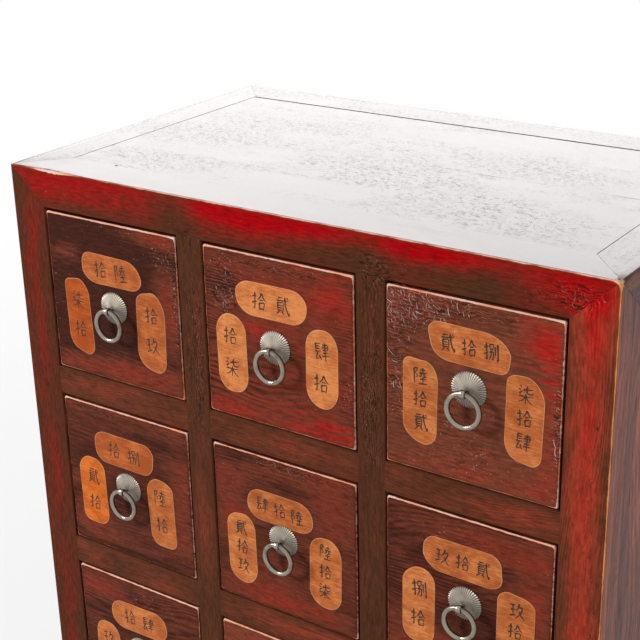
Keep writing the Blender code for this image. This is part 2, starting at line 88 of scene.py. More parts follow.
class Graph:
    """The nodes of a material or a world, with short ways to add and join them."""

    def __init__(self, owner, kind="Material"):
        owner.use_nodes = True
        self.owner = owner
        self.tree = owner.node_tree
        self.tree.nodes.clear()
        self.output = self.tree.nodes.new("ShaderNodeOutput" + kind)

    def node(self, kind, inputs=None, **settings):
        made = self.tree.nodes.new("ShaderNode" + kind)
        for key, value in settings.items():
            setattr(made, key, value)
        for key, value in (inputs or {}).items():
            if isinstance(value, bpy.types.NodeSocket):
                self.tree.links.new(value, made.inputs[key])
            else:
                made.inputs[key].default_value = value
        return made

    def math(self, operation, first, second=0.0, clamp=False):
        return self.node("Math", {0: first, 1: second}, operation=operation, use_clamp=clamp).outputs[0]

    def times(self, first, second):
        return self.math("MULTIPLY", first, second)

    def plus(self, base, value, share, clamp=False):
        """The base with a share of the value added."""
        return self.math("ADD", base, self.times(value, share), clamp)

    def centred(self, value):
        return self.math("SUBTRACT", value, 0.5)

    def mix(self, factor, first, second, blend="MIX"):
        """Two colours mixed. The second is a socket, or red, green and blue."""
        if not isinstance(second, bpy.types.NodeSocket):
            second = (*second, 1.0)
        inputs = {0: factor, 6: first, 7: second}
        return self.node("Mix", inputs, data_type="RGBA", blend_type=blend).outputs[2]

    def read(self, name, output="Fac"):
        """An attribute of the mesh."""
        return self.node("Attribute", attribute_name=name).outputs[output]

    def place(self):
        """Coordinates on the object itself."""
        return self.node("TexCoord").outputs["Object"]

    def noise(self, vector, size, detail, roughness=0.5, distortion=0.0):
        """A noise of that size: a scale, or scales along and across the grain."""
        if isinstance(size, tuple):
            vector = self.node("Mapping", {"Vector": vector, "Scale": (*size, size[-1])[:3]}).outputs[0]
            size = 1.0
        inputs = {"Vector": vector, "Scale": size, "Detail": detail, "Roughness": roughness,
                  "Distortion": distortion}
        return self.node("TexNoise", inputs).outputs["Fac"]

    def step(self, value, start, end, low=0.0, high=1.0):
        inputs = {"Value": value, "From Min": start, "From Max": end, "To Min": low, "To Max": high}
        return self.node("MapRange", inputs, interpolation_type="SMOOTHSTEP").outputs[0]

    def ramp(self, value, places, colours):
        made = self.node("ValToRGB", {"Fac": value})
        elements = made.color_ramp.elements
        while len(elements) < len(places):
            elements.new(0.5)
        for element, place, colour in zip(elements, places, colours):
            element.position = place
            element.color = (*colour, 1.0)
        return made.outputs["Color"]

    def bump(self, height, strength, distance):
        return self.node("Bump", {"Height": height, "Strength": strength, "Distance": distance}).outputs[0]

    def seen(self):
        """1 on rays that see the background, straight from the camera or by way of metal or glass."""
        path = self.node("LightPath").outputs
        seen = self.math("MAXIMUM", path["Is Camera Ray"], path["Is Glossy Ray"])
        return self.math("MAXIMUM", seen, path["Is Transmission Ray"])

    def show(self, shader):
        self.tree.links.new(shader.outputs[0], self.output.inputs[0])
        return self.owner

    def principled(self, colour, roughness, others):
        inputs = {"Base Color": colour, "Roughness": roughness, **others}
        return self.show(self.node("BsdfPrincipled", inputs))


def new_material(name):
    return Graph(bpy.data.materials.new(name))


def scaled(colour, share):
    return tuple(share * c for c in colour)


def growth_rings(g, tex, pitch, wander):
    """Lines along the grain, pitch of them to the metre, which wander and fade in and out."""
    parts = g.node("SeparateXYZ", {0: tex}).outputs
    across = g.math("ADD", parts[1], parts[2])
    drift = g.noise(tex, (3.5, 12), 2.5, 0.45)
    wave = g.math("SINE", g.times(g.plus(g.times(across, pitch), drift, wander * pitch), TURN))
    strength = g.step(g.noise(tex, (6, 30), 2), 0.30, 0.62, 0.15, 1.0)
    return g.times(g.centred(g.step(wave, -0.9, 0.7)), strength)


def creep(g, tex, pitch):
    """Wandering ridges of a coat that has crept, pitch of them to the metre: 0 in furrows, 1 on ridges."""
    parts = g.node("SeparateXYZ", {0: tex}).outputs
    warp = g.noise(tex, (40, 55), 3, 0.55)
    turns = g.plus(g.times(parts[1], pitch), warp, 7.0)
    return g.step(g.math("SINE", g.times(turns, TURN)), -1.0, 1.0)


def hairlines(g, tex, size, share):
    """Short bent scratches in that share of the cells of a random pattern, whose cells are size metres wide.
    Returns the lifted line, partly a painted glint, and the dark line beside it, a painted shadow."""
    reach, width = 0.60, 0.060
    flat = g.node("VectorMath", {0: tex, 1: (1 / size, 1 / size, 0)}, operation="MULTIPLY").outputs[0]
    inputs = {"Vector": flat, "Scale": 1.0}
    cells = g.node("TexVoronoi", inputs, voronoi_dimensions="2D", feature="F1").outputs
    chance = g.node("SeparateColor", {0: cells["Color"]}).outputs
    local = g.node("VectorMath", {0: flat, 1: cells["Position"]}, operation="SUBTRACT").outputs[0]
    angle = g.plus(0.1, chance[0], 1.7)
    turned = g.node("VectorRotate", {"Vector": local, "Angle": angle}, rotation_type="Z_AXIS").outputs[0]
    along, across, _ = g.node("SeparateXYZ", {0: turned}).outputs
    bent = g.plus(across, g.times(along, along), -0.3)
    there = g.math("LESS_THAN", chance[1], share)
    there = g.times(there, g.step(g.math("ABSOLUTE", along), reach, 0.5 * reach))
    there = g.times(there, g.step(chance[2], 0.0, 1.0, 0.25, 1.0))
    lines = []
    for shift in (0.0, 1.7 * width):
        off = g.math("ABSOLUTE", g.math("SUBTRACT", bent, shift))
        lines.append(g.times(g.step(off, width, 0.35 * width), there))
    return lines


def rubbed_edges(g, tex, edge, wear, rub_size):
    """How far the coat is rubbed off along the edges, broken up by a noise."""
    rub = g.noise(tex, rub_size, 4, 0.7)
    near = g.math("SUBTRACT", 1.0, g.math("DIVIDE", edge, EDGE_REACH), clamp=True)
    return g.plus(g.times(near, wear), g.centred(rub), 0.8)


def lacquer(name, shades, worn, relief, shine, pitch, wander=0.10, patch_size=(9, 24), patchiness=1.0,
            rub_size=(40, 150), chipping=0.4, scratch=0.005):
    """Old lacquer over planed wood, whose grain runs along the X of the "tex" attribute. The shades go from
    brown to bright red. Worn are the colours of the rubbed coat, of the ground under it, of scratches, whose
    pale is partly a painted glint, and of the painted shadow beside them. Relief is the height of ridges,
    growth rings, fibres and fine grain; the ridges are also painted lighter and their furrows darker, as
    painted highlight and shade. Attributes: "red" brings out the bright coat, "edge" is the distance to the
    nearest edge in mm, "wear" how far that edge is rubbed, "pale" how far down it is rubbed there, which on
    the upper edges of drawers is also a painted highlight, "crackle" how far the coat has crept and is
    scratched, and "figure" how strongly the growth rings show."""
    g = new_material(name)
    tex = g.read("tex", "Vector")
    edge, crackle, depth = g.read("edge"), g.read("crackle"), g.read("pale")
    patches = g.centred(g.noise(tex, patch_size, 4, 0.6, 0.6))
    fibre = g.noise(tex, (6, 420), 2.5, 0.55, 0.15)
    rings = g.times(growth_rings(g, tex, pitch, wander), g.read("figure"))
    spread = g.plus(crackle, patches, 0.8)
    crept = g.step(spread, 0.22, 0.60)

    # Colour of the coat
    tone = g.plus(g.read("red"), patches, patchiness)
    tone = g.plus(tone, g.centred(fibre), 0.40)
    tone = g.plus(tone, rings, 0.75, clamp=True)
    colour = g.ramp(tone, (0.0, 0.3, 0.62, 1.0), shades)
    mottle = g.noise(tex, (70, 130), 5, 0.7)
    flecks = g.times(g.step(mottle, 0.52, 0.64), g.step(crept, 0.0, 1.0, 0.30, 0.85))
    colour = g.mix(flecks, colour, scaled(shades[0], 0.5))
    fine = g.noise(tex, (80, 360), 3, 0.65)
    colour = g.mix(1.0, colour, g.step(fine, 0.30, 0.70, 0.76, 1.24), "MULTIPLY")
    grime = g.step(g.plus(edge, mottle, 8.0), 9.0, 4.0, 0.0, 0.5)
    colour = g.mix(grime, colour, shades[0])

    # Ridges in the coat, with painted highlight on their crests and painted shade in their furrows, and with
    # scratches and dust among them
    ridges = creep(g, tex, 290)
    colour = g.mix(crept, colour, g.step(ridges, 0.0, 1.0, 0.66, 1.30), "MULTIPLY")
    share = g.step(spread, 0.38, 0.95, 0.0, 0.80)
    long_lines, short_lines = (hairlines(g, tex, size, share) for size in (scratch, 0.53 * scratch))
    scratch_and_glint, shadow_line = (g.math("MAXIMUM", *pair) for pair in zip(long_lines, short_lines))
    dust = g.noise(tex, (420, 420), 1)
    dusty = g.times(g.step(dust, 0.70, 0.78), g.step(spread, 0.1, 0.7, 0.08, 0.6))
    # Painted shadow beside each scratch; pale scratches, partly a painted glint, and pale dust
    colour = g.mix(g.times(shadow_line, 0.9), colour, worn[3])
    colour = g.mix(g.math("MAXIMUM", g.times(scratch_and_glint, 0.8), dusty), colour, worn[2])

    # Rubbed edges show ground coat and wood; along the upper edges of drawers the pale is also a painted
    # highlight
    ragged = g.times(g.centred(dust), g.step(depth, 0.66, 0.80, 0.0, chipping))
    rubbed = g.math("ADD", rubbed_edges(g, tex, edge, g.read("wear"), rub_size), ragged)
    bare = g.step(rubbed, 0.52, 0.70)
    ground = g.mix(depth, (*worn[1], 1.0), PALE_GROUND_AND_HIGHLIGHT)
    colour = g.mix(g.step(rubbed, 0.36, 0.58, 0.0, 0.6), colour, worn[0])
    colour = g.mix(bare, colour, ground)

    height = g.times(g.times(ridges, crept), relief[0])
    layers = (rings, fibre, fine, g.math("SUBTRACT", scratch_and_glint, bare))
    for layer, part in zip(layers, (*relief[1:], 0.25)):
        height = g.plus(height, layer, part)
    rough = g.plus(0.40, g.centred(fibre), 0.2)
    rough = g.plus(rough, g.math("MAXIMUM", bare, shadow_line), 0.25, clamp=True)
    return g.principled(colour, rough, {
        "IOR": LACQUER_IOR, "Specular IOR Level": shine, "Normal": g.bump(height, 1.0, LACQUER_BUMP)})


def top_lacquer():
    """The dark polished coat of the top, which mirrors the light. Where "crackle" is high it is crazed with
    short fine lines along the boards, which are rougher than the rest."""
    g = new_material("top_lacquer")
    tex = g.read("tex", "Vector")
    patches = g.noise(tex, (8, 26), 4, 0.6, 0.5)
    fibre = g.noise(tex, (9, 380), 3, 0.6)
    lines = g.noise(tex, (200, 460), 3, 0.62, 0.8)
    spread = g.math("ADD", g.read("crackle"), g.centred(patches))
    crazed = g.times(g.step(lines, 0.555, 0.60), g.step(spread, 0.14, 0.50, 0.08, 1.0))
    colour = g.ramp(fibre, (0.3, 0.7), ((0.045, 0.020, 0.015), (0.085, 0.036, 0.027)))
    colour = g.mix(g.times(crazed, 0.6), colour, (0.012, 0.009, 0.008))
    rubbed = rubbed_edges(g, tex, g.read("edge"), g.read("wear"), (90, 200))
    colour = g.mix(g.step(rubbed, 0.50, 0.66), colour, (0.66, 0.30, 0.12))
    rough = g.plus(g.plus(0.30, crazed, 0.14), g.centred(fibre), 0.10)
    height = g.plus(g.times(crazed, -0.06), fibre, 0.02)
    return g.principled(colour, rough, {
        "IOR": LACQUER_IOR, "Specular IOR Level": 0.66, "Normal": g.bump(height, 1.0, LACQUER_BUMP)})


def bare_wood(name, pale, dark, from_object=False):
    """Planed softwood. The grain runs along the X of the "tex" attribute, or along the object's X."""
    g = new_material(name)
    tex = g.place() if from_object else g.read("tex", "Vector")
    along, across, up = g.node("SeparateXYZ", {0: tex}).outputs
    bent = g.plus(across, g.centred(g.noise(tex, (3, 14), 2)), 0.05)
    bent_tex = g.node("CombineXYZ", {0: along, 1: bent, 2: up}).outputs[0]
    rings = g.noise(bent_tex, (1.2, 140, 60), 3)
    fibre = g.noise(tex, (12, 500), 4, 0.7)
    stains = g.noise(tex, (7, 12), 5, 0.6)
    tone = g.plus(g.times(rings, 0.7), fibre, 0.3)
    colour = g.ramp(g.step(tone, 0.32, 0.68), (0.0, 0.55, 1.0), (dark, pale, scaled(pale, 1.12)))
    colour = g.mix(g.step(stains, 0.5, 0.75, 0.0, 0.45), colour, scaled(dark, 0.6))
    normal = g.bump(g.plus(g.times(fibre, 0.6), rings, 0.5), 0.6, 0.0005)
    return g.principled(colour, g.step(fibre, 0.2, 0.8, 0.55, 0.8), {"Normal": normal})


def white_brass(name, tones, smoothest, roughest):
    """Tarnished silver-grey metal, darkened by an attribute of the mesh, which holds dirt in the plates'
    flutes and painted shade towards their bottom.
    """
    g = new_material(name)
    place = g.place()
    clouds = g.noise(place, 120, 4, 0.6)
    specks = g.noise(place, 800, 3, 0.6)
    # Darkening from the mesh, dirt and painted shade, with specks of dirt
    dirt_and_shade = g.math("ADD", g.times(g.read("darkening"), 0.8), g.step(specks, 0.58, 0.76, 0.0, 0.4), clamp=True)
    colour = g.mix(dirt_and_shade, g.ramp(clouds, (0.3, 0.5, 0.7), tones), (0.09, 0.07, 0.05))
    rough = g.plus(g.step(clouds, 0.3, 0.7, smoothest, roughest), dirt_and_shade, 0.25)
    return g.principled(colour, rough, {"Metallic": 1.0, "Normal": g.bump(specks, 0.25, 0.0002)})


def nail_iron():
    """Black iron with a little rust."""
    g = new_material("nail_iron")
    rust = g.noise(g.place(), 900, 3, 0.6)
    colour = g.ramp(rust, (0.35, 0.70), ((0.025, 0.022, 0.020), (0.090, 0.045, 0.025)))
    rough = g.step(rust, 0.3, 0.7, 0.45, 0.75)
    return g.principled(colour, rough, {"Metallic": 0.6, "Normal": g.bump(rust, 0.4, 0.0002)})


def label_paper():
    """Orange-tan paper, pasted on: paler where "shade" is high, browned where "stain" is, with a pale cut
    edge where "rim" is 1."""
    g = new_material("label_paper")
    tex = g.read("tex", "Vector")
    clouds = g.noise(tex, (45, 60), 5, 0.65)
    fibre = g.noise(tex, (70, 700), 4, 0.6)
    spots = g.noise(tex, 260, 5, 0.75)
    tone = g.plus(g.times(clouds, 0.55), fibre, 0.45)
    tone = g.math("ADD", g.step(tone, 0.34, 0.66), g.read("shade"), clamp=True)
    papers = ((0.33, 0.078, 0.018), (0.47, 0.130, 0.034), (0.64, 0.226, 0.068))
    colour = g.ramp(tone, (0.0, 0.5, 1.0), papers)
    colour = g.mix(g.read("stain"), colour, (1.0, 0.70, 0.30), "MULTIPLY")
    colour = g.mix(g.step(spots, 0.54, 0.70, 0.0, 0.55), colour, (0.25, 0.06, 0.018))
    colour = g.mix(g.times(g.read("rim"), 0.6), colour, (0.68, 0.36, 0.20))
    return g.principled(colour, 0.5, {"Specular IOR Level": 0.06, "Normal": g.bump(fibre, 0.3, 0.0003)})


def brush_ink():
    """Black ink, brown where the brush ran dry."""
    g = new_material("brush_ink")
    dry = g.noise(g.place(), 600, 3, 0.6)
    inks = ((0.016, 0.014, 0.013), (0.045, 0.032, 0.024), (0.17, 0.075, 0.035))
    return g.principled(g.ramp(dry, (0.35, 0.62, 0.8), inks), 0.55, {"Specular IOR Level": 0.2})


def floor_white():
    """Pale floor that takes the shadow near the chest and fades into the white background away from it."""
    g = new_material("floor_white")
    far = g.node("VectorMath", {0: g.place()}, operation="LENGTH").outputs["Value"]
    share = g.times(g.seen(), g.step(far, 0.7, 2.6, 0.62, 1.0))
    paint = g.node("BsdfDiffuse", {"Color": (0.86, 0.86, 0.86, 1.0)})
    glow = g.node("Emission", {"Color": WHITE, "Strength": 1.0})
    return g.show(g.node("MixShader", {0: share, 1: paint.outputs[0], 2: glow.outputs[0]}))


# Pale ground coat, which on the upper edges of drawers stands also for a painted highlight
PALE_GROUND_AND_HIGHLIGHT = (0.84, 0.60, 0.52)
BROWN = (0.073, 0.0245, 0.0105)
# Rubbed coat, ground coat, pale of scratches and dust (partly a painted glint), painted shadow beside
# scratches
FRAME_WEAR_AND_SHADE = ((0.40, 0.085, 0.022), (0.74, 0.29, 0.095), (0.26, 0.20, 0.14), (0.030, 0.015, 0.009))
FRONT_WEAR_AND_SHADE = ((0.45, 0.075, 0.028), (0.80, 0.30, 0.12), (0.62, 0.56, 0.50), (0.028, 0.012, 0.008))
SIDE_WEAR_AND_SHADE = ((0.24, 0.10, 0.04), (0.55, 0.24, 0.09), (0.30, 0.25, 0.23), (0.050, 0.030, 0.025))
FRONT_RELIEF = (0.45, 0.4, 0.2, 0.3)
MATERIALS = {
    "frame": lacquer(
        "frame_lacquer", (BROWN, (0.130, 0.032, 0.0148), (0.310, 0.037, 0.0180), (0.40, 0.004, 0.005)),
        FRAME_WEAR_AND_SHADE, relief=(0.20, 0.25, 0.25, 0.3), shine=0.025, pitch=270),
    "rail": lacquer(
        "rail_lacquer", (BROWN, (0.124, 0.020, 0.0105), (0.235, 0.011, 0.0075), (0.335, 0.001, 0.003)),
        FRAME_WEAR_AND_SHADE, relief=(0.20, 0.15, 0.15, 0.2), shine=0.015, pitch=270, chipping=1.8),
    "front": lacquer(
        "front_lacquer",
        ((0.048, 0.0130, 0.0075), (0.135, 0.031, 0.0155), (0.21, 0.027, 0.0135), (0.36, 0.009, 0.007)),
        FRONT_WEAR_AND_SHADE, relief=FRONT_RELIEF, rub_size=(70, 200), shine=0.03, pitch=200, scratch=0.006),
    "warm_front": lacquer(
        "warm_front_lacquer",
        ((0.118, 0.035, 0.0180), (0.178, 0.043, 0.0215), (0.245, 0.030, 0.0165), (0.37, 0.012, 0.009)),
        FRONT_WEAR_AND_SHADE, relief=FRONT_RELIEF, rub_size=(70, 200), shine=0.03, pitch=150, scratch=0.0085),
    "side": lacquer(
        "side_lacquer",
        ((0.040, 0.012, 0.008), (0.190, 0.049, 0.028), (0.400, 0.108, 0.062), (0.62, 0.205, 0.130)),
        SIDE_WEAR_AND_SHADE, relief=(0.2, 0.2, 0.3, 0.3), shine=0.14, pitch=75, wander=0.16, patch_size=(2.4, 75),
        patchiness=1.2),
    "top": top_lacquer(),
    "wood": bare_wood("bare_wood", (0.46, 0.29, 0.15), (0.27, 0.15, 0.07)),
    "shelf": bare_wood("shelf_wood", (0.40, 0.25, 0.13), (0.22, 0.12, 0.055), from_object=True),
    "plate": white_brass(
        "plate_brass", ((0.235, 0.198, 0.155), (0.328, 0.292, 0.252), (0.353, 0.296, 0.222)), 0.36, 0.48),
    "ring": white_brass(
        "ring_brass", ((0.21, 0.17, 0.115), (0.32, 0.295, 0.255), (0.36, 0.295, 0.185)), 0.14, 0.24),
    "iron": nail_iron(),
    "paper": label_paper(),
    "ink": brush_ink(),
}

# Meshes

JOINT_RADIUS = 0.10 * MM
MITRE_GAP = 0.02 * MM
WAVES = 7
FLAT = 0.985
LOOKS = {"red": 0.1, "wear": 0.3, "pale": 0.0, "crackle": 0.15, "figure": 0.2}


def corners(node):
    """Lowest and highest corner of a CAD node, as arrays."""
    low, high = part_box(node)
    return np.array(low), np.array(high)


def bell(values, middle, reach, power=2):
    """1 at the middle, falling softly to 0 beyond the reach."""
    return np.exp(-(((values - middle) / reach) ** power))


def piece(name, points, faces, material, body, attributes, node=None, smooth=True, sharp=None):
    """A mesh object in the frame's own place, which rides on a body and may stand for a CAD node."""
    mesh = bpy.data.meshes.new(name)
    mesh.from_pydata([tuple(p) for p in points], [], faces)
    for key, values in attributes.items():
        values = np.asarray(values, np.float32)
        kind, field = ("FLOAT_VECTOR", "vector") if values.ndim == 2 else ("FLOAT", "value")
        mesh.attributes.new(key, kind, "POINT").data.foreach_set(field, values.ravel())
    mesh.materials.append(MATERIALS[material])
    if smooth:
        mesh.shade_smooth()
    mesh.validate()
    if sharp:
        mesh.set_sharp_from_angle(angle=math.radians(sharp))
    made = bpy.data.objects.new(name, mesh)
    bpy.context.scene.collection.objects.link(made)
    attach(made, body)
    if node:
        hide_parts(node)
    return made


def tube(loops, count, start=0, closed=False):
    """Faces of a tube through loops of count points each: with a cap at each end, or closed to a ring."""
    faces = []
    for k in range(loops if closed else loops - 1):
        a, b = start + k * count, start + (k + 1) % loops * count
        for i in range(count):
            j = (i + 1) % count
            faces.append((a + i, a + j, b + j, b + i))
    if not closed:
        last = start + (loops - 1) * count
        faces += [tuple(start + i for i in reversed(range(count))), tuple(last + i for i in range(count))]
    return faces


def grid_lines(low, high, radius, step):
    """Places of the grid lines along one side of a slab: close together round its edges."""
    near = [0.0, 0.586 * radius, radius, radius + 0.7 * MM, radius + 1.5 * MM, radius + 2.0 * MM]
    count = max(1, round((high - low - 2 * near[-1]) / step))
    middle = np.linspace(low + near[-1], high - near[-1], count + 1)
    return np.concatenate([[low + n for n in near[:-1]], middle, [high - n for n in reversed(near[:-1])]])


def slab(low, high, radius, step, end_axis=None):
    """A box with round edges, as points, faces and each point's distance to the nearest edge in mm. The
    edges across the end axis are kept sharper, so that joints stay tight."""
    low, high = np.array(low, float), np.array(high, float)
    reach = np.full(3, radius)
    if end_axis is not None:
        reach[end_axis] = JOINT_RADIUS
    lines = [grid_lines(low[i], high[i], reach[i], step) for i in range(3)]
    index, points, faces = {}, [], []

    def corner(key):
        if key not in index:
            index[key] = len(points)
            points.append([lines[i][key[i]] for i in range(3)])
        return index[key]

    for axis in range(3):
        u, v = (axis + 1) % 3, (axis + 2) % 3
        for end in (0, len(lines[axis]) - 1):
            for i in range(len(lines[u]) - 1):
                for j in range(len(lines[v]) - 1):
                    quad = []
                    for a, b in ((i, j), (i + 1, j), (i + 1, j + 1), (i, j + 1)):
                        key = [0, 0, 0]
                        key[axis], key[u], key[v] = end, a, b
                        quad.append(corner(tuple(key)))
                    faces.append(quad if end else quad[::-1])
    points = np.array(points)
    depth = np.minimum(points - low, high - points)
    if end_axis is not None:
        far = np.delete(depth, end_axis, axis=1).max(axis=1)
    else:
        far = np.sort(depth, axis=1)[:, 1]
    inner = np.clip(points, low + reach, high - reach)
    out = (points - inner) / reach
    length = np.linalg.norm(out, axis=1, keepdims=True)
    return inner + reach * out / np.maximum(length, 1e-12), faces, far / MM


def round_over(points, first, second, radius):
    """Rounds an outer edge, where two planes meet: each plane is (axis, place, side it faces)."""
    depths = [(place - points[:, axis]) * side for axis, place, side in (first, second)]
    radius = np.zeros(len(points)) + radius
    turns = [depth - radius for depth in depths]
    length = np.maximum(np.hypot(*turns), 1e-9)
    near = (depths[0] < radius) & (depths[1] < radius) & (length > radius)
    moved = points.copy()
    for (axis, _, side), depth, turn in zip((first, second), depths, turns):
        moved[near, axis] -= ((radius + turn / length * radius - depth) * side)[near]
    return moved


def ripple(points, seed, wavelength, amount):
    """A smooth random field over points, a sum of plane waves."""
    rng = np.random.default_rng(seed)
    total = np.zeros(len(points))
    for _ in range(WAVES):
        wave = rng.normal(size=3) * TURN / wavelength
        total += np.sin(points @ wave + rng.uniform(0, TURN))
    return amount * total / math.sqrt(WAVES)


def blobs(points, across, up, spots):
    """The sum of soft spots: (place across, place up, reach across, reach up, amount), in mm."""
    total = np.zeros(len(points))
    for a, b, reach_a, reach_b, amount in spots:
        total += amount * bell(points[:, across] / MM, a, reach_a) * bell(points[:, up] / MM, b, reach_b)
    return total


def grain_coordinates(points, along, seed):
    """Texture coordinates with the grain along X and a fresh stretch of wood for each board."""
    rng = np.random.default_rng(seed)
    turned = points[:, [along, *(i for i in (Z, X, Y) if i != along)]]
    return turned + rng.uniform(-3, 3, 3)


def wavy(points, low, high, seed, amount):
    """Moves a slab's points a little out of true, as on planed and worn wood."""
    low, high = np.array(low), np.array(high)
    half = np.maximum((high - low) / 2, 1e-6)
    side = (points - (low + high) / 2) / half
    direction = np.where(np.abs(side) > 0.999, np.sign(side), 0.0)
    bend = ripple(points, seed, 0.09, amount)
    return points + direction * np.minimum(bend, 0)[:, None]


def plank(name, node, low, high, along, seed, body, radius, step, uneven=0.0):
    """A board of bare wood."""
    points, faces, _ = slab(low, high, radius, step)
    points = wavy(points, low, high, seed, uneven)
    tex = grain_coordinates(points, along, seed)
    piece(name, points, faces, "wood", body, {"tex": tex}, node)


def board(node, low, high, along, material, slot, seed, name=None, body="carcass", radius=0.9 * MM,
          step=8 * MM, uneven=0.25 * MM, joint_axis=None, remap=None, other_faces=(), **looks):
    """A lacquered board that stands for a CAD node. A look is a number or a function of the points. Faces
    that look along an axis may have a material of their own: (axis, material, least cosine)."""
    points, faces, edge = slab(low, high, radius, step, joint_axis)
    points = wavy(points, low, high, seed, uneven)
    if remap is not None:
        points = remap(points)
        edge = np.minimum(edge, corner_distance(points))
    attributes = {"tex": grain_coordinates(points, along, seed), "edge": edge}
    for key, look in {**LOOKS, **looks}.items():
        attributes[key] = np.zeros(len(points)) + (look(points) if callable(look) else look)
    made = piece(name or f"{node}_lacquer", points, faces, material, body, attributes, node)
    for axis, other, least in other_faces:
        made.data.materials.append(MATERIALS[other])
        for face in made.data.polygons:
            if (abs(face.normal.x) if axis == X else face.normal[axis]) > least:
                face.material_index = len(made.data.materials) - 1


def mitre(points, low, high, axis, outer, ends):
    """Cuts the ends of a bar back, so that only its outer edge reaches the corner."""
    depth = []
    for i, side in zip([i for i in range(3) if i != axis], outer):
        depth.append((high[i] - points[:, i] if side else points[:, i] - low[i]) / (high[i] - low[i]))
    share = np.clip(np.maximum(*depth), 0, 1)
    cuts = [end * share + MITRE_GAP if end else 0.0 for end in ends]
    start, stop = low[axis] + cuts[0], high[axis] - cuts[1]
    moved = points.copy()
    place = (points[:, axis] - low[axis]) / (high[axis] - low[axis])
    moved[:, axis] = start + place * (stop - start)
    return moved


# The carcass

RIGHT_CORNER = 7.5 * MM
LEFT_CORNER = 3.5 * MM
TOP_ROUND = 1.6 * MM
POST_ROUND = 2.2 * MM
SIDE_ROUND = 2.5 * MM
CHIP_DEPTH = 2.2 * MM
FAR_AWAY = 100.0
TONGUE = 9.0 * MM
TOP_SINK = 0.2 * MM
SIDE_RED = 0.22


def soften(points):
    """Rounds the outer edges of the frame, most at the right front corner of the top, with a chipped
    stretch at the left of the top front edge."""
    chip = bell(points[:, X], -0.298, 0.024) * (1 + ripple(points, 5, 0.012, 0.5))
    points = round_over(points, (Z, TOP_Z, 1), (Y, FRONT_Y, -1), TOP_ROUND + CHIP_DEPTH * chip)
    points = round_over(points, (Z, TOP_Z, 1), (Y, BACK_Y, 1), TOP_ROUND)
    for side, corner_radius in ((1, RIGHT_CORNER), (-1, LEFT_CORNER)):
        wall = (X, side * HALF_WIDTH, side)
        points = round_over(points, wall, (Y, FRONT_Y, -1), POST_ROUND)
        points = round_over(points, wall, (Y, BACK_Y, 1), POST_ROUND)
        radius = SIDE_ROUND + (corner_radius - SIDE_ROUND) * bell(points[:, Y], FRONT_Y, 0.008)
        points = round_over(points, wall, (Z, TOP_Z, 1), radius)
    return points


def corner_distance(points):
    """Distance in mm to the round top right corner of the front, large elsewhere."""
    across = RIGHT_CORNER - (HALF_WIDTH - points[:, X])
    up = RIGHT_CORNER - (TOP_Z - points[:, Z])
    far = np.maximum(RIGHT_CORNER - np.hypot(across, up), 0) / MM
    return np.where((across > 0) & (up > 0), far, FAR_AWAY)


def facing_front(points):
    return bell(points[:, Y], FRONT_Y, 0.005, 4)


def to_the_right(points):
    """0 at the left of the front, 1 past the first column of drawers."""
    return np.clip((points[:, X] + 0.24) / 0.10, 0, 1)


def frame_wear(points):
    """Rubbed hardest along the right front edge, and next along the front edge of the top."""
    x, y, z = points.T
    right_edge, left_edge = (bell(x, s * HALF_WIDTH, 0.006) * bell(y, FRONT_Y, 0.006) for s in (1, -1))
    top_edge = bell(z, TOP_Z, 0.005) * bell(y, FRONT_Y, 0.005)
    along = 0.40 + 0.13 * to_the_right(points) + 0.95 * bell(x, -0.296, 0.026, 4)
    return 0.20 + 0.62 * right_edge + 0.14 * left_edge + top_edge * along


def frame_pale(points):
    """Pale wood along the top front edge, palest where it is chipped."""
    edge = 0.65 * to_the_right(points) * bell(points[:, Z], TOP_Z, 0.006)
    return np.maximum(edge, bell(points[:, X], -0.303, 0.023)) * facing_front(points)


def frame_crackle(points):
    spots = [(318, 778, 34, 16, 0.60), (268, 772, 26, 12, 0.30), (122, 765, 40, 22, 0.35),
             (-110, 755, 30, 22, 0.25), (-322, 782, 16, 10, 0.25), (345, 640, 10, 60, 0.35),
             (-337, 450, 14, 80, 0.20), (110, 640, 15, 120, 0.58), (-110, 620, 15, 120, 0.56),
             (348, 420, 9, 90, 0.30), (340, 540, 14, 50, 0.30), (330, 730, 12, 40, 0.22)]
    return 0.06 + facing_front(points) * blobs(points, X, Z, spots)


def side_red(points):
    """The sides, darker towards the top."""
    return SIDE_RED - 0.22 * bell(points[:, Z], TOP_Z, 0.06)


def front_red(level, spots):
    """A level and spots of red on the front, and none behind."""
    return lambda points: facing_front(points) * (level + blobs(points, X, Z, spots))


def post_red(low, high, level, streaks):
    """Streaks up the middle of an upright's front: (height, reach across, reach up, amount). Its other
    faces are like the sides."""
    centre = (low[X] + high[X]) / 2 / MM
    front = front_red(level, [(centre, *streak) for streak in streaks])
    return lambda points: side_red(points) * (1 - facing_front(points)) + front(points)


def build_posts():
    reds = {
        "left": (0.06, [(720, 11, 80, 0.40), (600, 10, 60, 0.42), (450, 14, 90, 0.30), (200, 10, 90, 0.35)]),
        "right": (0.27, [(785, 30, 30, 0.62), (735, 17, 40, 0.38), (660, 15, 50, 0.40), (560, 14, 60, 0.40),
                         (440, 13, 70, 0.36), (280, 14, 90, 0.40), (100, 13, 80, 0.35)]),
    }
    for side, (name, (level, streaks)) in enumerate(reds.items()):
        for rear, end in enumerate(("front", "back")):
            node = f"{end}_{name}_post"
            low, high = corners(node)
            high[Z] = TOP_Z
            board(node, low, high, Z, "side" if rear else ("rail", "frame")[side], "red_lacquer",
                  seed=11 + 2 * side + rear, step=(5 if rear else 3.5) * MM, joint_axis=Z,
                  remap=lambda p: soften(mitre(p, low, high, Z, (side, rear), (0, TOP_RAIL))),
                  other_faces=() if rear else ((X, "side", FLAT),),
                  red=side_red if rear else post_red(low, high, level, streaks),
                  wear=frame_wear, crackle=frame_crackle, figure=lambda p: 0.20 + 0.18 * facing_front(p))


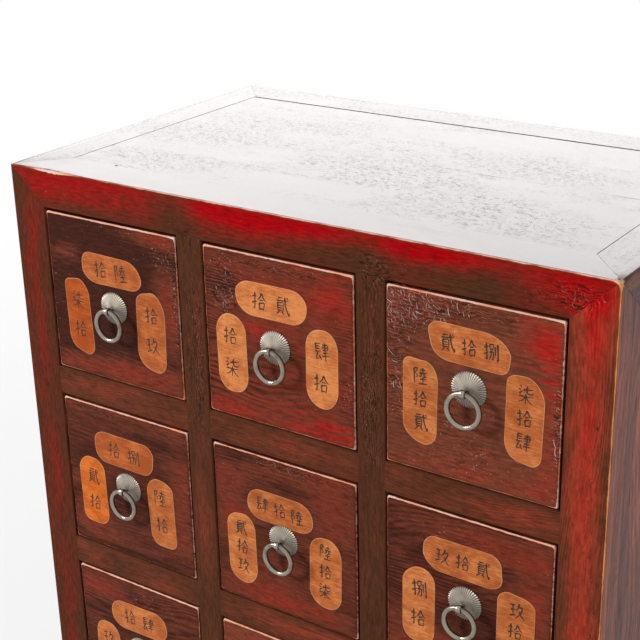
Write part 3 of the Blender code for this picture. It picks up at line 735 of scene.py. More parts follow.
def rail_red(points):
    """Bright along the upper half of the top front rail and at its ends, but dark over the stiles."""
    spots = [(-280, 782, 62, 20, 0.30), (-128, 775, 24, 40, -0.40), (-45, 791, 60, 15, 0.70),
             (30, 793, 60, 11, 0.55), (60, 768, 50, 12, -0.20), (104, 770, 26, 18, -0.45),
             (168, 792, 45, 11, 0.65), (172, 770, 46, 12, -0.26), (233, 768, 22, 16, -0.50),
             (315, 782, 48, 26, 0.24), (338, 764, 26, 12, 0.30), (-352, 780, 12, 30, -0.10)]
    height = np.clip((points[:, Z] - RAIL_LOW.z) / TOP_RAIL, 0, 1)
    return front_red(0.20 + 0.42 * height, spots)(points)


def build_top_rails():
    """The rails round the top. The lying face of each is polished like the top, and on the left and back
    rails so is the rounded edge."""
    overlap = 0.2 * MM
    plans = {
        "front": (X, (0, 1), POST_WIDTH, frame_crackle, FLAT), "back": (X, (1, 1), POST_WIDTH, 0.34, 0.45),
        "left": (Y, (0, 1), POST_DEPTH, 0.26, 0.45), "right": (Y, (1, 1), POST_DEPTH, 0.25, FLAT),
    }
    for i, (side, (axis, outer, inset, crackle, least)) in enumerate(plans.items()):
        node = f"top_{side}_rail"
        low, high = corners(node)
        low[axis] -= overlap
        high[axis] += overlap
        front = side == "front"
        board(node, low, high, axis, "rail" if front else "side", "dark_lacquer", seed=21 + i,
              radius=0.25 * MM, step=(3.5 if front else 8) * MM, uneven=0.06 * MM, joint_axis=axis,
              remap=lambda p: soften(mitre(p, low, high, axis, outer, (inset, inset))),
              other_faces=((Z, "top", least),), red=rail_red if front else side_red, wear=frame_wear,
              pale=frame_pale, crackle=crackle, figure=0.3 if front else 0.2)


def build_grid():
    """Stiles and rails between the drawers. Their ends run a little way into the pieces they meet."""
    bite, recess = 1.2 * MM, 0.12 * MM
    stile_streaks = {1: [(420, 9, 45, 0.30), (460, 14, 80, 0.16), (640, 8, 60, 0.12), (240, 9, 50, 0.25)],
                     2: [(440, 8, 50, 0.20), (700, 8, 40, 0.18), (240, 9, 50, 0.25)]}
    for i, streaks in stile_streaks.items():
        node = f"mid_stile_{i}"
        low, high = corners(node)
        low[Z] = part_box("bottom_front_rail")[1].z - bite
        high[Z] = RAIL_LOW.z + bite
        low[Y] += recess
        board(node, low, high, Z, "frame", "red_lacquer", seed=31 + i, joint_axis=Z, wear=0.26, figure=0.25,
              red=post_red(low, high, -0.03, streaks), crackle=frame_crackle)
    names = ("front_left_post", "mid_stile_1", "mid_stile_2", "front_right_post")
    uprights = [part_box(name) for name in names]
    for i in (1, 2):
        node = f"mid_rail_{i}"
        low, high = corners(node)
        low[Y] += 2 * recess
        height = (low[Z] + high[Z]) / 2 / MM
        spots = [(-280, height, 40, 9, 0.10), (-200, height, 30, 8, 0.06), (0, height, 70, 9, 0.24),
                 (270, height, 40, 10, 0.20)]
        for j, word in enumerate(("left", "middle", "right")):
            low[X], high[X] = uprights[j][1].x - bite, uprights[j + 1][0].x + bite
            board(node, low, high, X, "frame", "red_lacquer", seed=41 + 3 * i + j,
                  name=f"{node}_{word}_lacquer", joint_axis=X, red=front_red(0.16, spots),
                  crackle=0.16, wear=0.26)


def build_base():
    tenon = 18.8 * MM
    front_spots = [(-180, 95, 110, 12, 0.40), (140, 92, 120, 12, 0.35)]
    for i, side in enumerate(("front", "back", "left", "right")):
        node = f"bottom_{side}_rail"
        low, high = corners(node)
        axis = X if side in ("front", "back") else Y
        low[axis] += tenon
        high[axis] -= tenon
        front = side == "front"
        board(node, low, high, axis, "frame" if front else "side", "red_lacquer", seed=51 + i,
              joint_axis=axis, red=(lambda p: 0.10 + front_red(0.0, front_spots)(p)) if front else 0.2)


def top_crackle(points):
    """Crazed patches on the top, long along the boards."""
    spots = [(-250, 10, 90, 40, 0.30), (20, -40, 110, 45, 0.35), (130, 60, 120, 30, 0.32),
             (180, -110, 110, 40, 0.32), (-120, 80, 120, 30, 0.25), (-230, -120, 90, 30, 0.20)]
    return 0.24 + blobs(points, X, Y, spots)


def build_panels():
    """The top, the sides and the back, without the tongues that the frame hides."""
    for i, part in enumerate(("front", "back")):
        node = f"top_panel_{part}_board"
        low, high = corners(node)
        low[X] += TONGUE - 0.5 * MM
        high[X] -= TONGUE
        if part == "front":
            low[Y] += TONGUE - 0.7 * MM
            high[Y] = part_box("top_panel_back_board")[0].y - 0.05 * MM
        else:
            high[Y] -= TONGUE + 1.7 * MM
        high[Z] = TOP_Z - TOP_SINK
        board(node, low, high, X, "top", "dark_lacquer", seed=61 + i, radius=0.08 * MM, uneven=0.06 * MM,
              wear=0.05, crackle=top_crackle)
    for i, side in enumerate(("left", "right")):
        node = f"{side}_side_panel"
        low, high = corners(node)
        low[Y:] += TONGUE
        high[Y:] -= TONGUE
        board(node, low, high, Z, "side", "dark_lacquer", seed=71 + i, radius=0.8 * MM, red=SIDE_RED,
              wear=0.15, crackle=0.12, figure=0.25)
    build_back()


def build_nail():
    """The worn head of a nail in the front board of the top."""
    x, y, z = 0.110 - HALF_WIDTH, 0.052 + FRONT_Y, TOP_Z - TOP_SINK
    profile = [(0.0, 0.60), (0.7, 0.56), (1.4, 0.42), (1.9, 0.15), (2.1, -0.4)]
    around = 18
    points = []
    for radius, lift in profile:
        for i in range(around):
            turn = TURN * i / around
            far = (radius + 0.02) * (1 + 0.07 * math.sin(3 * turn + 1)) * MM
            points.append((x + far * math.cos(turn), y + far * math.sin(turn), z + lift * MM))
    faces = [(face[0], *reversed(face[1:])) for face in tube(len(profile), around)]
    piece("top_nail", points, faces, "iron", "carcass", {})


def build_back():
    """Upright planks behind, with open joints between them."""
    count, half_joint = 4, 0.6 * MM
    low, high = corners("back_panel")
    low[[X, Z]] += TONGUE
    high[[X, Z]] -= TONGUE
    edges = np.linspace(low[X], high[X], count + 1)
    for i in range(count):
        low[X], high[X] = edges[i] + half_joint, edges[i + 1] - half_joint
        plank(f"back_plank_{i + 1}", "back_panel", low, high, Z, 81 + i, "carcass",
              radius=1.2 * MM, step=16 * MM, uneven=0.3 * MM)


# Drawers, each known by its row and column

FRONT_RED = {
    (1, 1): [(65, 84, 45, 8, 0.7), (78, 10, 22, 60, 0.60), (-70, 50, 26, 16, 0.30), (-70, -84, 34, 14, 0.55),
             (60, -80, 48, 16, 0.65), (-8, -80, 50, 15, 0.50)],
    (1, 2): [(-55, 77, 46, 11, 0.22), (-60, 36, 22, 9, 0.16), (70, 62, 25, 30, 0.40),
             (-22, 12, 26, 12, 0.36), (-66, 60, 34, 26, -0.22), (52, -82, 52, 18, 0.48),
             (-65, -85, 36, 11, 0.48), (0, 0, 95, 95, 0.10)],
    (1, 3): [(74, 70, 28, 20, 0.9), (82, 28, 13, 32, 0.5), (0, -83, 90, 10, 0.2), (80, -58, 15, 30, 0.4)],
    (2, 1): [(40, 80, 50, 9, 0.12), (78, 0, 14, 60, 0.4), (-60, -60, 40, 20, 0.3)],
    (2, 2): [(60, 60, 30, 40, 0.3), (0, -80, 80, 14, 0.5), (-70, 20, 20, 40, 0.3)],
    (2, 3): [(20, 75, 60, 14, 0.4), (70, 10, 20, 50, 0.4), (-50, -70, 50, 16, 0.4)],
    (3, 1): [(50, -70, 50, 20, 0.5), (-60, 70, 40, 14, 0.4)],
    (3, 2): [(0, 78, 70, 12, 0.5), (70, -50, 22, 40, 0.4)],
    (3, 3): [(-60, 60, 36, 22, 0.5), (60, -80, 50, 12, 0.5)],
}
FRONT_CRACKLE = {
    (1, 1): [(72, 68, 22, 16, 0.55), (10, 84, 40, 5, 0.40), (87, 20, 6, 60, 0.60), (-88, 0, 5, 70, 0.35)],
    (1, 2): [(-66, 52, 24, 30, 0.55), (0, 84, 70, 7, 0.50), (-70, 30, 18, 20, 0.25), (84, -40, 8, 40, 0.40)],
    (1, 3): [(-80, 20, 26, 80, 0.55), (-50, 74, 60, 18, 0.60), (20, 84, 70, 6, 0.50), (0, -40, 60, 34, 0.30),
             (88, 0, 4, 80, 0.50), (20, -78, 50, 14, 0.14)],
    (2, 1): [(87, 0, 5, 80, 0.40), (-20, 84, 60, 6, 0.30)],
    (2, 2): [(0, 86, 90, 6, 0.55), (-75, 78, 20, 10, 0.20), (86, 60, 6, 30, 0.3)],
}
OTHER_CRACKLE = [(0, 70, 60, 12, 0.4)]
# Level of red, figure of the grain and wear of the edges
FRONT_LOOKS = {(1, 1): (-0.12, 0.15, 1.0), (1, 2): (0.26, 0.60, 1.0), (1, 3): (0.12, 0.55, 1.0),
               (2, 1): (0.12, 0.12, 0.85), (2, 2): (0.18, 0.14, 0.8)}
OTHER_LOOKS = (0.16, 0.28, 0.9)
WARM_FRONTS = ((1, 3), (3, 2))

# Labels above, left and right of the pull: middle across, middle up, width and height in mm
LABEL_PLAN = ((-5.0, 42.0, 86.0, 38.0), (-56.5, -23.0, 38.5, 88.0), (52.0, -18.0, 40.0, 88.0))
LABEL_PLANS = {
    (1, 1): ((-3.5, 36.0, 84.0, 34.5), (-55.0, -25.7, 35.5, 88.5), (49.7, -23.7, 40.0, 90.5)),
    (1, 2): ((-8.4, 44.0, 88.0, 37.0), (-60.2, -22.8, 38.4, 87.4), (52.3, -15.0, 38.6, 85.0)),
    (1, 3): ((-3.6, 45.8, 85.6, 37.5), (-55.1, -20.7, 37.5, 87.6), (54.2, -13.2, 38.4, 88.6)),
    (2, 1): ((-6.0, 39.7, 86.5, 39.5), (-57.8, -22.8, 40.0, 86.0), (46.0, -23.0, 38.0, 86.0)),
    (2, 2): ((-6.5, 31.8, 85.0, 36.5), (-59.0, -30.0, 38.0, 87.0), (51.0, -26.0, 40.0, 86.0)),
}
LABEL_SHADE = {
    (1, 1): (-0.20, -0.32, -0.24), (1, 2): (0.40, 0.26, 0.28), (1, 3): (-0.02, -0.02, -0.08),
    (2, 1): (-0.30, 0.25, -0.15), (2, 2): (-0.20, 0.05, -0.05), (2, 3): (-0.05, 0.10, -0.15),
    (3, 2): (0.20, 0.10, 0.25),
}
LABEL_STAIN = {(1, 1): (0.1, 0.8, 0.0), (2, 1): (0.3, 1.0, 0.0), (3, 3): (0.0, 0.6, 0.1)}
PLAIN = (0.0, 0.0, 0.0)
NEAT_LABELS = ((1, 2), (2, 2), (3, 1))
# Corner radii as shares of a label's short side: right and left above, left and right below
LABEL_CORNERS = {
    (1, 1): ((0.50, 0.42, 0.50, 0.40), (0.46, 0.26, 0.50, 0.34), (0.52, 0.34, 0.48, 0.34)),
    (1, 3): ((0.55, 0.34, 0.50, 0.28), (0.48, 0.26, 0.46, 0.36), (0.54, 0.28, 0.46, 0.30)),
}
LABEL_SHIFT = (1.1 * MM, 1.7 * MM)
LABEL_THICKNESS = 0.25 * MM
LABEL_RIM = 1.3

# Brush-written formal numerals, each stroke a list of points in a unit square
HAND = [[(0.04, 0.72), (0.36, 0.77)], [(0.21, 0.98), (0.22, 0.5), (0.22, 0.10), (0.11, 0.16)],
        [(0.03, 0.36), (0.37, 0.5)]]
NUMERALS = {
    2: [[(0.1, 0.76), (0.5, 0.78), (0.95, 0.82)], [(0.2, 0.91), (0.55, 0.93)], [(0.17, 0.64), (0.18, 0.22)],
        [(0.17, 0.64), (0.36, 0.65), (0.57, 0.66), (0.56, 0.22)], [(0.2, 0.51), (0.54, 0.52)],
        [(0.2, 0.38), (0.54, 0.39)], [(0.18, 0.25), (0.56, 0.26)], [(0.28, 0.2), (0.08, 0.02)],
        [(0.46, 0.2), (0.6, 0.05)], [(0.7, 0.99), (0.74, 0.5), (0.94, 0.03), (0.98, 0.22)],
        [(0.84, 0.97), (0.92, 0.88)]],
    4: [[(0.08, 0.92), (0.42, 0.94)], [(0.1, 0.79), (0.37, 0.8)], [(0.1, 0.66), (0.37, 0.67)],
        [(0.08, 0.92), (0.1, 0.5)], [(0.02, 0.5), (0.45, 0.54)], [(0.22, 0.5), (0.09, 0.12), (0.34, 0.19)],
        [(0.3, 0.34), (0.43, 0.08)], [(0.56, 0.84), (0.72, 0.86), (0.89, 0.88), (0.87, 0.58)],
        [(0.5, 0.72), (1.0, 0.76)], [(0.56, 0.6), (0.88, 0.62)], [(0.55, 0.44), (0.9, 0.47)],
        [(0.49, 0.28), (0.98, 0.32)], [(0.72, 0.99), (0.72, 0.5), (0.72, 0.0)]],
    6: [[(0.08, 0.93), (0.08, 0.5), (0.08, 0.03)],
        [(0.08, 0.92), (0.31, 0.92), (0.17, 0.66), (0.33, 0.5), (0.18, 0.4)], [(0.5, 0.84), (0.87, 0.87)],
        [(0.68, 0.99), (0.68, 0.68)], [(0.42, 0.68), (0.96, 0.72)],
        [(0.58, 0.66), (0.54, 0.52), (0.43, 0.44)], [(0.76, 0.67), (0.78, 0.5), (0.93, 0.51)],
        [(0.48, 0.32), (0.91, 0.36)], [(0.68, 0.48), (0.68, 0.08)], [(0.4, 0.05), (0.99, 0.1)]],
    7: [[(0.1, 0.96), (0.21, 0.87)], [(0.05, 0.77), (0.17, 0.7)], [(0.07, 0.5), (0.27, 0.68)],
        [(0.32, 0.73), (0.94, 0.87)], [(0.56, 0.99), (0.56, 0.68), (0.66, 0.58), (0.9, 0.6), (0.93, 0.7)],
        [(0.05, 0.38), (0.5, 0.41), (0.96, 0.45)], [(0.5, 0.56), (0.5, 0.3), (0.5, -0.02)],
        [(0.48, 0.4), (0.32, 0.18), (0.06, 0.03)], [(0.52, 0.4), (0.68, 0.2), (0.96, 0.05)]],
    8: [*HAND, [(0.42, 0.9), (0.44, 0.64)], [(0.42, 0.9), (0.54, 0.91), (0.66, 0.93), (0.64, 0.64)],
        [(0.44, 0.66), (0.64, 0.67)], [(0.4, 0.48), (0.52, 0.49), (0.66, 0.51), (0.62, 0.1), (0.53, 0.14)],
        [(0.52, 0.62), (0.5, 0.35), (0.37, 0.05)], [(0.78, 0.82), (0.78, 0.3)],
        [(0.95, 0.97), (0.95, 0.5), (0.95, 0.06), (0.84, 0.14)]],
    9: [[(0.05, 0.84), (0.41, 0.88)], [(0.08, 0.54), (0.38, 0.58)], [(0.02, 0.15), (0.43, 0.27)],
        [(0.23, 0.86), (0.23, 0.2)], [(0.66, 0.99), (0.58, 0.72), (0.43, 0.54)],
        [(0.6, 0.74), (0.87, 0.78), (0.74, 0.42), (0.41, 0.04)], [(0.66, 0.5), (0.78, 0.25), (1.0, 0.04)]],
    10: [*HAND, [(0.68, 0.99), (0.58, 0.75), (0.41, 0.57)], [(0.68, 0.96), (0.82, 0.72), (1.0, 0.6)],
         [(0.56, 0.58), (0.83, 0.61)], [(0.53, 0.42), (0.56, 0.06)],
         [(0.53, 0.42), (0.7, 0.44), (0.88, 0.46), (0.84, 0.07)], [(0.56, 0.11), (0.84, 0.14)]],
}
LABEL_NUMBERS = {
    (1, 1): (16, 70, 19), (1, 2): (12, 17, 40), (1, 3): (28, 62, 74), (2, 1): (18, 20, 60),
    (2, 2): (46, 29, 67), (2, 3): (92, 80, 97), (3, 1): (14, 90, 22), (3, 2): (68, 47, 10),
    (3, 3): (49, 26, 72),
}
# Size of a numeral, and its pitch on a level and on an upright label, in mm, for one to three of them
NUMERAL_SIZES = {1: (21.0, 0.0, 0.0), 2: (19.0, 29.0, 35.0), 3: (17.0, 22.5, 24.0)}
INK_FRONT, INK_BACK, INK_STEP = 0.05 * MM, 0.06 * MM, 0.004 * MM


def turned(x, y, angle):
    return x * math.cos(angle) - y * math.sin(angle), x * math.sin(angle) + y * math.cos(angle)


def drawer_front(place, key):
    node = f"drawer_{key}_front"
    low, high = corners(node)
    row, column = place
    seed = 100 + 10 * row + column
    level, figure, edge_wear = FRONT_LOOKS.get(place, OTHER_LOOKS)
    middle = (low + high) / 2 / MM

    def spots_on(points, spots):
        return blobs(points, X, Z, [(a + middle[X], b + middle[Z], *spot) for a, b, *spot in spots])

    def edges(points):
        """Nearness to the left, right, lower and upper edge."""
        x, _, z = points.T
        places = (low[X], high[X], low[Z], high[Z])
        return [bell(along, edge, 0.004) for along, edge in zip((x, x, z, z), places)]

    def wear(points):
        left, right, lower, upper = edges(points)
        rubbed = 0.70 * right + 0.72 * left + (0.92 * upper + 0.74 * lower)
        return 0.12 + bell(points[:, Y], low[Y], 0.004) * rubbed * edge_wear

    # Pale ground on rubbed edges; all along the upper edge it is also a painted highlight of light from
    # above
    def pale(points):
        _, right, lower, upper = edges(points)
        patchy = 0.5 + ripple(points, seed, 0.07, 0.5)
        return np.clip(upper * (0.35 + 0.5 * patchy) + right * patchy + 0.6 * lower * patchy, 0, 1)

    board(node, low, high, X, "warm_front" if place in WARM_FRONTS else "front", "red_lacquer", seed,
          name=f"front_{key}", body=f"drawer_{key}", radius=2.4 * MM, step=7 * MM,
          other_faces=((Y, "wood", FLAT),), red=lambda p: level + spots_on(p, FRONT_RED[place]), wear=wear,
          pale=pale, figure=figure,
          crackle=lambda p: 0.10 + spots_on(p, FRONT_CRACKLE.get(place, OTHER_CRACKLE)))


def outline(width, height, neat, corner_shares, seed):
    """A hand-cut label: a rectangle with four unlike round corners and slightly uneven sides, in mm."""
    arc_steps = 12
    rng = random.Random(seed)
    small = min(width, height)
    drawn = [rng.uniform(0.44, 0.49) if neat else rng.uniform(0.26, 0.47) for _ in range(4)]
    points = []
    for i, (sx, sy) in enumerate(((1, 1), (-1, 1), (-1, -1), (1, -1))):
        share = (corner_shares or drawn)[i]
        long_share = share * (1 + 3 * max(0.0, share - 0.42))
        reach_x, reach_y = (long_share, share) if width > height else (share, long_share)
        cx, cy = sx * (width / 2 - reach_x * small), sy * (height / 2 - reach_y * small)
        for k in range(arc_steps + 1):
            turn = math.radians(90 * i + 90 * k / arc_steps)
            points.append((cx + reach_x * small * math.cos(turn), cy + reach_y * small * math.sin(turn)))
    phases = [rng.uniform(0, TURN) for _ in range(3)]
    uneven = 0.5 if neat else 1.3
    made = []
    for x, y in points:
        turn = math.atan2(y / height, x / width)
        swell = 1.0
        for waves, amount, phase in zip((2, 3, 5), (0.012, 0.014, 0.008), phases):
            swell += uneven * amount * math.sin(waves * turn + phase)
        made.append((x * swell, y * swell))
    return made


def labels(place, key):
    """Three paper labels with a number on each."""
    row, column = place
    low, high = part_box(f"drawer_{key}_front")
    centre_x, centre_z = (low.x + high.x) / 2 + LABEL_SHIFT[0], (low.z + high.z) / 2 + LABEL_SHIFT[1]
    paper = {"points": [], "faces": [], "rim": [], "shade": [], "stain": []}
    strokes = {"points": [], "faces": []}
    rng = random.Random(7 * row + 31 * column)
    plans, corner_shares = LABEL_PLANS.get(place), LABEL_CORNERS.get(place)
    for i, number in enumerate(LABEL_NUMBERS[place]):
        x, z, width, height = plans[i] if plans else [a + rng.uniform(-2, 2) for a in LABEL_PLAN[i]]
        middle = (centre_x + x * MM, centre_z + z * MM)
        angle = math.radians(rng.uniform(-1.5, 1.5))
        shape = outline(width, height, place in NEAT_LABELS, corner_shares and corner_shares[i],
                        100 * row + 10 * column + i)
        add_label(paper, [turned(a, b, angle) for a, b in shape], middle, low.y)
        for look, values in (("shade", LABEL_SHADE), ("stain", LABEL_STAIN)):
            paper[look] += [values.get(place, PLAIN)[i]] * (3 * len(shape))
        add_number(strokes, number, i == 0, middle, angle, low.y - LABEL_THICKNESS, rng)
    points, faces = np.array(paper.pop("points")), paper.pop("faces")
    tex = grain_coordinates(points, X, row * 10 + column)
    piece(f"labels_{key}", points, faces, "paper", f"drawer_{key}", {"tex": tex, **paper}, smooth=False)
    piece(f"numerals_{key}", strokes["points"], strokes["faces"], "ink", f"drawer_{key}", {}, smooth=False)


def add_label(store, shape, middle, face):
    """A thin sheet on the drawer's face, with a narrow rim round it."""
    sink = 0.1 * MM
    start = len(store["points"])
    loops = [(0.0, face + sink), (0.0, face - LABEL_THICKNESS + sink), (LABEL_RIM, face - LABEL_THICKNESS)]
    for inset, y in loops:
        for a, b in shape:
            share = 1 - inset / math.hypot(a, b)
            store["points"].append((middle[0] + a * share * MM, y, middle[1] + b * share * MM))
        store["rim"] += [0.0 if inset else 1.0] * len(shape)
    store["faces"] += tube(len(loops), len(shape), start)


def smooth_path(points, count):
    """Points along a smooth curve through the given ones."""
    inner = [np.array(p) for p in points]
    knots = [2 * inner[0] - inner[1], *inner, 2 * inner[-1] - inner[-2]]
    made = []
    for s in np.linspace(0, len(points) - 1, count):
        i = min(int(s), len(points) - 2)
        t = s - i
        a, b, c, d = knots[i:i + 4]
        bend = (2 * a - 5 * b + 4 * c - d) * t * t + (3 * b - a - 3 * c + d) * t ** 3
        made.append(0.5 * (2 * b + (c - a) * t + bend))
    return np.array(made)


def add_number(store, number, level, middle, angle, face, rng):
    """Brush strokes for a number: side by side on a level label, one under another on an upright one."""
    tens, ones = divmod(number, 10)
    signs = ([tens] if tens > 1 else []) + [10] + ([ones] if ones else [])
    size, level_pitch, upright_pitch = NUMERAL_SIZES[len(signs)]
    for i, sign in enumerate(signs):
        offset = (i - (len(signs) - 1) / 2) * (level_pitch if level else upright_pitch)
        x, z = (offset, rng.uniform(-1.5, 1.5)) if level else (rng.uniform(-1.5, 1.5), 2.0 - offset)
        lean = math.radians(rng.uniform(-5, 5))
        for k, stroke in enumerate(NUMERALS[sign]):
            path = (smooth_path(stroke, 11) - 0.5) * size * np.array([0.92, 1.06])
            path = np.column_stack(turned(path[:, 0], path[:, 1], lean)) + turned(x, z, angle)
            add_stroke(store, path, middle, face - INK_STEP * k, rng)


def sides_of(path):
    """Directions square to a flat path, on its left."""
    along = np.gradient(path, axis=0)
    along /= np.linalg.norm(along, axis=1, keepdims=True)
    return np.column_stack([-along[:, 1], along[:, 0]])


def add_stroke(store, path, middle, face, rng):
    """A brush stroke, pressed hardest near its start."""
    share = np.linspace(0, 1, len(path))
    press = 0.78 + 0.36 * bell(share, 0.08, 0.12) - 0.40 * share ** 3
    press = press * rng.uniform(0.75, 1.1) * np.minimum(1, 0.45 + 6 * share)
    start = len(store["points"])
    front, back = face - INK_FRONT, face + INK_BACK
    for spot, out in zip(path, sides_of(path) * press[:, None]):
        for sign, y in ((1, front), (1, back), (-1, back), (-1, front)):
            x, z = spot + sign * out
            store["points"].append((middle[0] + x * MM, y, middle[1] + z * MM))
    store["faces"] += tube(len(path), 4, start)


TEETH = 44
TOOTH_STEPS = 6
TOOTH_DEPTH = 0.085
PLATE_RADIUS = 19.0 * MM


def pull_plate(key, centre):
    """A domed disc with radial flutes and a toothed rim."""
    steps = TEETH * TOOTH_STEPS
    radii = (0.10, 0.16, 0.24, 0.34, 0.46, 0.58, 0.70, 0.80, 0.88, 0.94, 1.0)
    points, darkening = [], []
    for share, behind in [*((radius, False) for radius in radii), (1.0, True)]:
        for i in range(steps):
            turn = TURN * i / steps
            hollow = 1 - abs((i % TOOTH_STEPS) / 3 - 1)
            radius = PLATE_RADIUS * share * (1 - TOOTH_DEPTH * hollow * share ** 8)
            lift = 0.8 + 4.6 * (1 - share ** 1.35) - 0.30 * hollow * min(1, share * 1.3)
            y = -(0.2 if behind else lift) * MM
            points.append((radius * math.cos(turn), y, radius * math.sin(turn)))
            # Painted shade towards the bottom of the plate, and darker at its middle round the staple
            dark = 0.24 * (0.5 - 0.5 * math.sin(turn)) * share + 0.8 * bell(share, 0, 0.16)
            darkening.append(0.6 if behind else min(1.0, hollow * 0.64 * min(1.0, 0.3 + share) + dark))
    piece(f"plate_{key}", np.array(points) + centre, tube(len(radii) + 1, steps), "plate", f"drawer_{key}",
          {"darkening": darkening}, f"drawer_{key}_plate", sharp=40)


STRIP_WIDTH = 5.2 * MM
STRIP = 1.2 * MM
FRONT_THICKNESS = 18.0 * MM
EYE_PLAY = 0.8 * MM


def staple(key, centre, reach, eye):
    """A bent strip: two legs through the front, clinched behind it, and a loop round the ring in front."""
    half_gap = 0.75 * MM
    radius = eye + STRIP / 2
    open_angle = math.asin(min(1.0, half_gap / radius))
    back = FRONT_THICKNESS + 1.0 * MM
    leg = [(back, 12.0 * MM), (back, 6.0 * MM), (back - 0.1 * MM, 1.6 * MM), (back - 0.8 * MM, half_gap)]
    path = [(y, -z) for y, z in leg]
    for t in np.linspace(math.pi - open_angle, -math.pi + open_angle, 25):
        path.append((-reach - radius * math.cos(t), -radius * math.sin(t)))
    path = np.array(path + leg[::-1])
    section = [(-0.5, -0.275), (-0.36, -0.5), (0.36, -0.5), (0.5, -0.275),
               (0.5, 0.275), (0.36, 0.5), (-0.36, 0.5), (-0.5, 0.275)]
    points = []
    for spot, out in zip(path, sides_of(path)):
        for across, thick in section:
            points.append((across * STRIP_WIDTH, *(spot + out * thick * STRIP)))
    piece(f"staple_{key}", np.array(points) + centre, tube(len(path), len(section)), "ring", f"drawer_{key}",
          {"darkening": np.full(len(points), 0.1)}, sharp=50)


def pull_ring(place, key, pivot, radius, wire):
    """A forged ring, a little uneven along its length."""
    around, across = 72, 16
    row, column = place
    points, darkening = [], []
    for i in range(around):
        turn = TURN * i / around
        thick = wire * (1.16 + 0.03 * math.sin(3 * turn + row) + 0.02 * math.sin(7 * turn + column))
        top = 0.4 * bell(min(i, around - i), 0, 4)
        for j in range(across):
            lean = TURN * j / across
            outward = math.cos(lean)
            far = radius + thick * outward
            points.append((far * math.sin(turn), thick * math.sin(lean), far * math.cos(turn) - radius))
            # Darker on the outer face of the wire and at its top, where it hangs in the staple
            darkening.append(0.12 + 0.42 * max(0.0, outward) + 0.2 * max(0.0, -outward) ** 3 + top)
    piece(f"ring_{key}_wire", np.array(points) + np.array(pivot), tube(around, across, closed=True),
          "ring", f"ring_{key}", {"darkening": darkening}, f"drawer_{key}_ring")


def tray(place, key):
    """The drawer's box: two sides, a back and a bottom, each a board of its own."""
    node = f"drawer_{key}_tray"
    (left, front, bottom), (right, back, top) = corners(node)
    wall, floor, gap, drop = 10.0 * MM, 7.0 * MM, 0.2 * MM, 4.0 * MM
    inner_left, inner_right = left + wall + gap, right - wall - gap
    plans = {
        "left": ((left, front, bottom), (left + wall, back, top), Y),
        "right": ((right - wall, front, bottom), (right, back, top), Y),
        "back": ((inner_left, back - wall, bottom), (inner_right, back, top - drop), X),
        "bottom": ((inner_left, front, bottom), (inner_right, back - wall - gap, bottom + floor), Y),
    }
    row, column = place
    for i, (word, (low, high, along)) in enumerate(plans.items()):
        seed = 400 + 40 * row + 10 * column + i
        plank(f"tray_{word}_{key}", node, low, high, along, seed, f"drawer_{key}",
              radius=0.9 * MM, step=30 * MM)


def build_drawers():
    joints = {joint["name"]: joint for joint in frame["joints"]}
    for place in FRONT_RED:
        key = "r{}c{}".format(*place)
        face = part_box(f"drawer_{key}_front")[0].y
        pivot = Vector(joints[f"ring_{key}_swing"]["pos_m"])
        ring_low, ring_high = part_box(f"drawer_{key}_ring")
        wire = (ring_high.y - ring_low.y) / 2
        centre = (pivot.x, face, pivot.z)
        drawer_front(place, key)
        labels(place, key)
        pull_plate(key, centre)
        staple(key, centre, face - pivot.y, wire + EYE_PLAY)
        pull_ring(place, key, pivot, (ring_high.x - ring_low.x) / 2 - wire, wire)
        tray(place, key)


def dress_shelves():
    for name in ("shelf_1", "shelf_2", "bottom_board"):
        shelf = frame["nodes"][name]
        shelf.data.materials.clear()
        shelf.data.materials.append(MATERIALS["shelf"])


# Stage, light and camera

AMBIENT = 0.22
FLOOR_REACH = 14.0
# Angles in degrees, place in metres from the left front corner of the top, lens and sensor in mm
CAMERA_AZIMUTH = 34.8487
CAMERA_ELEVATION = 22.1184
CAMERA_ROLL = 1.3186
CAMERA_FROM_CORNER = (1.13795, -1.04226, 0.41654)
CAMERA_LENS = 79.044
CAMERA_SENSOR = 36.0


def area_light(name, place, target, size, power):
    lamp = bpy.data.lights.new(name, "AREA")
    lamp.shape = "RECTANGLE"
    lamp.size, lamp.size_y = size
    lamp.energy = power
    made = bpy.data.objects.new(name, lamp)
    made.location = place
    made.rotation_mode = "QUATERNION"
    made.rotation_quaternion = (Vector(target) - Vector(place)).to_track_quat("-Z", "Y")
    made.visible_camera = False
    bpy.context.scene.collection.objects.link(made)
    return made


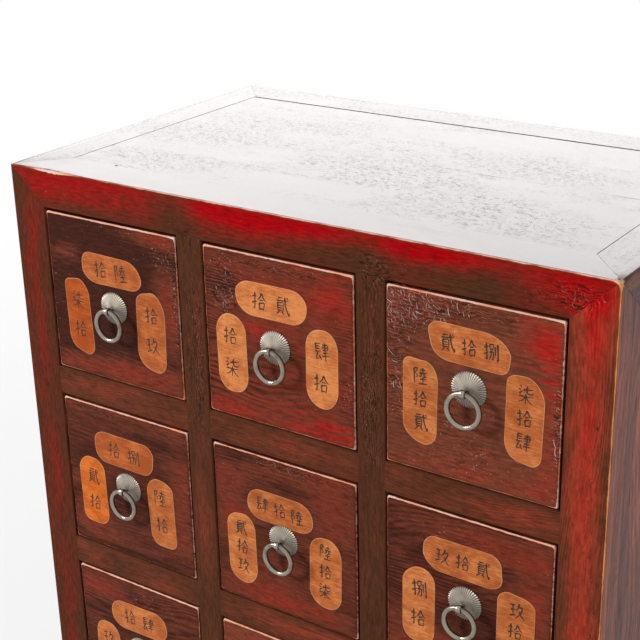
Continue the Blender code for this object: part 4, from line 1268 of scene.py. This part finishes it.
def build_world():
    """A dim white sky, which the camera, metal and glass see as plain white."""
    bpy.context.scene.world = bpy.data.worlds.new("studio")
    g = Graph(bpy.context.scene.world, "World")
    soft = g.node("Background", {"Color": WHITE, "Strength": AMBIENT})
    white = g.node("Background", {"Color": WHITE, "Strength": 1.0})
    g.show(g.node("MixShader", {0: g.seen(), 1: soft.outputs[0], 2: white.outputs[0]}))


def build_stage():
    mesh = bpy.data.meshes.new("floor")
    square = ((-1, -1), (1, -1), (1, 1), (-1, 1))
    mesh.from_pydata([(x * FLOOR_REACH, y * FLOOR_REACH, 0) for x, y in square], [], [(0, 1, 2, 3)])
    mesh.materials.append(floor_white())
    floor = bpy.data.objects.new("floor", mesh)
    bpy.context.scene.collection.objects.link(floor)
    build_world()
    area_light("key", (-2.6, -2.3, 2.0), (0, -0.2, 0.55), (0.8, 0.8), 116)
    fill = area_light("fill", (2.6, -1.2, 1.6), (0.2, -0.1, 0.5), (1.2, 1.6), 34)
    fill.visible_glossy = False
    area_light("back_softbox", (-1.34, 3.00, 1.88), (0.05, 0.0, 0.80), (3.8, 1.4), 62)


def build_camera():
    turn, tilt, roll = (math.radians(a) for a in (CAMERA_AZIMUTH, CAMERA_ELEVATION, CAMERA_ROLL))
    forward = Vector((-math.sin(turn) * math.cos(tilt), math.cos(turn) * math.cos(tilt), -math.sin(tilt)))
    right = forward.cross(Vector((0, 0, 1))).normalized()
    down = forward.cross(right)
    rolled_right = math.cos(roll) * right + math.sin(roll) * down
    rolled_down = -math.sin(roll) * right + math.cos(roll) * down
    lens = bpy.data.cameras.new("camera")
    lens.lens = CAMERA_LENS
    lens.sensor_width = CAMERA_SENSOR
    made = bpy.data.objects.new("camera", lens)
    corner = Vector((-HALF_WIDTH, FRONT_Y, TOP_Z))
    axes = Matrix((rolled_right, -rolled_down, -forward)).transposed()
    made.matrix_world = Matrix.Translation(corner + Vector(CAMERA_FROM_CORNER)) @ axes.to_4x4()
    bpy.context.scene.collection.objects.link(made)
    bpy.context.scene.camera = made


build_camera()
build_stage()
build_posts()
build_top_rails()
build_grid()
build_base()
build_panels()
build_nail()
build_drawers()
dress_shelves()
bpy.context.scene.view_settings.view_transform = "Standard"
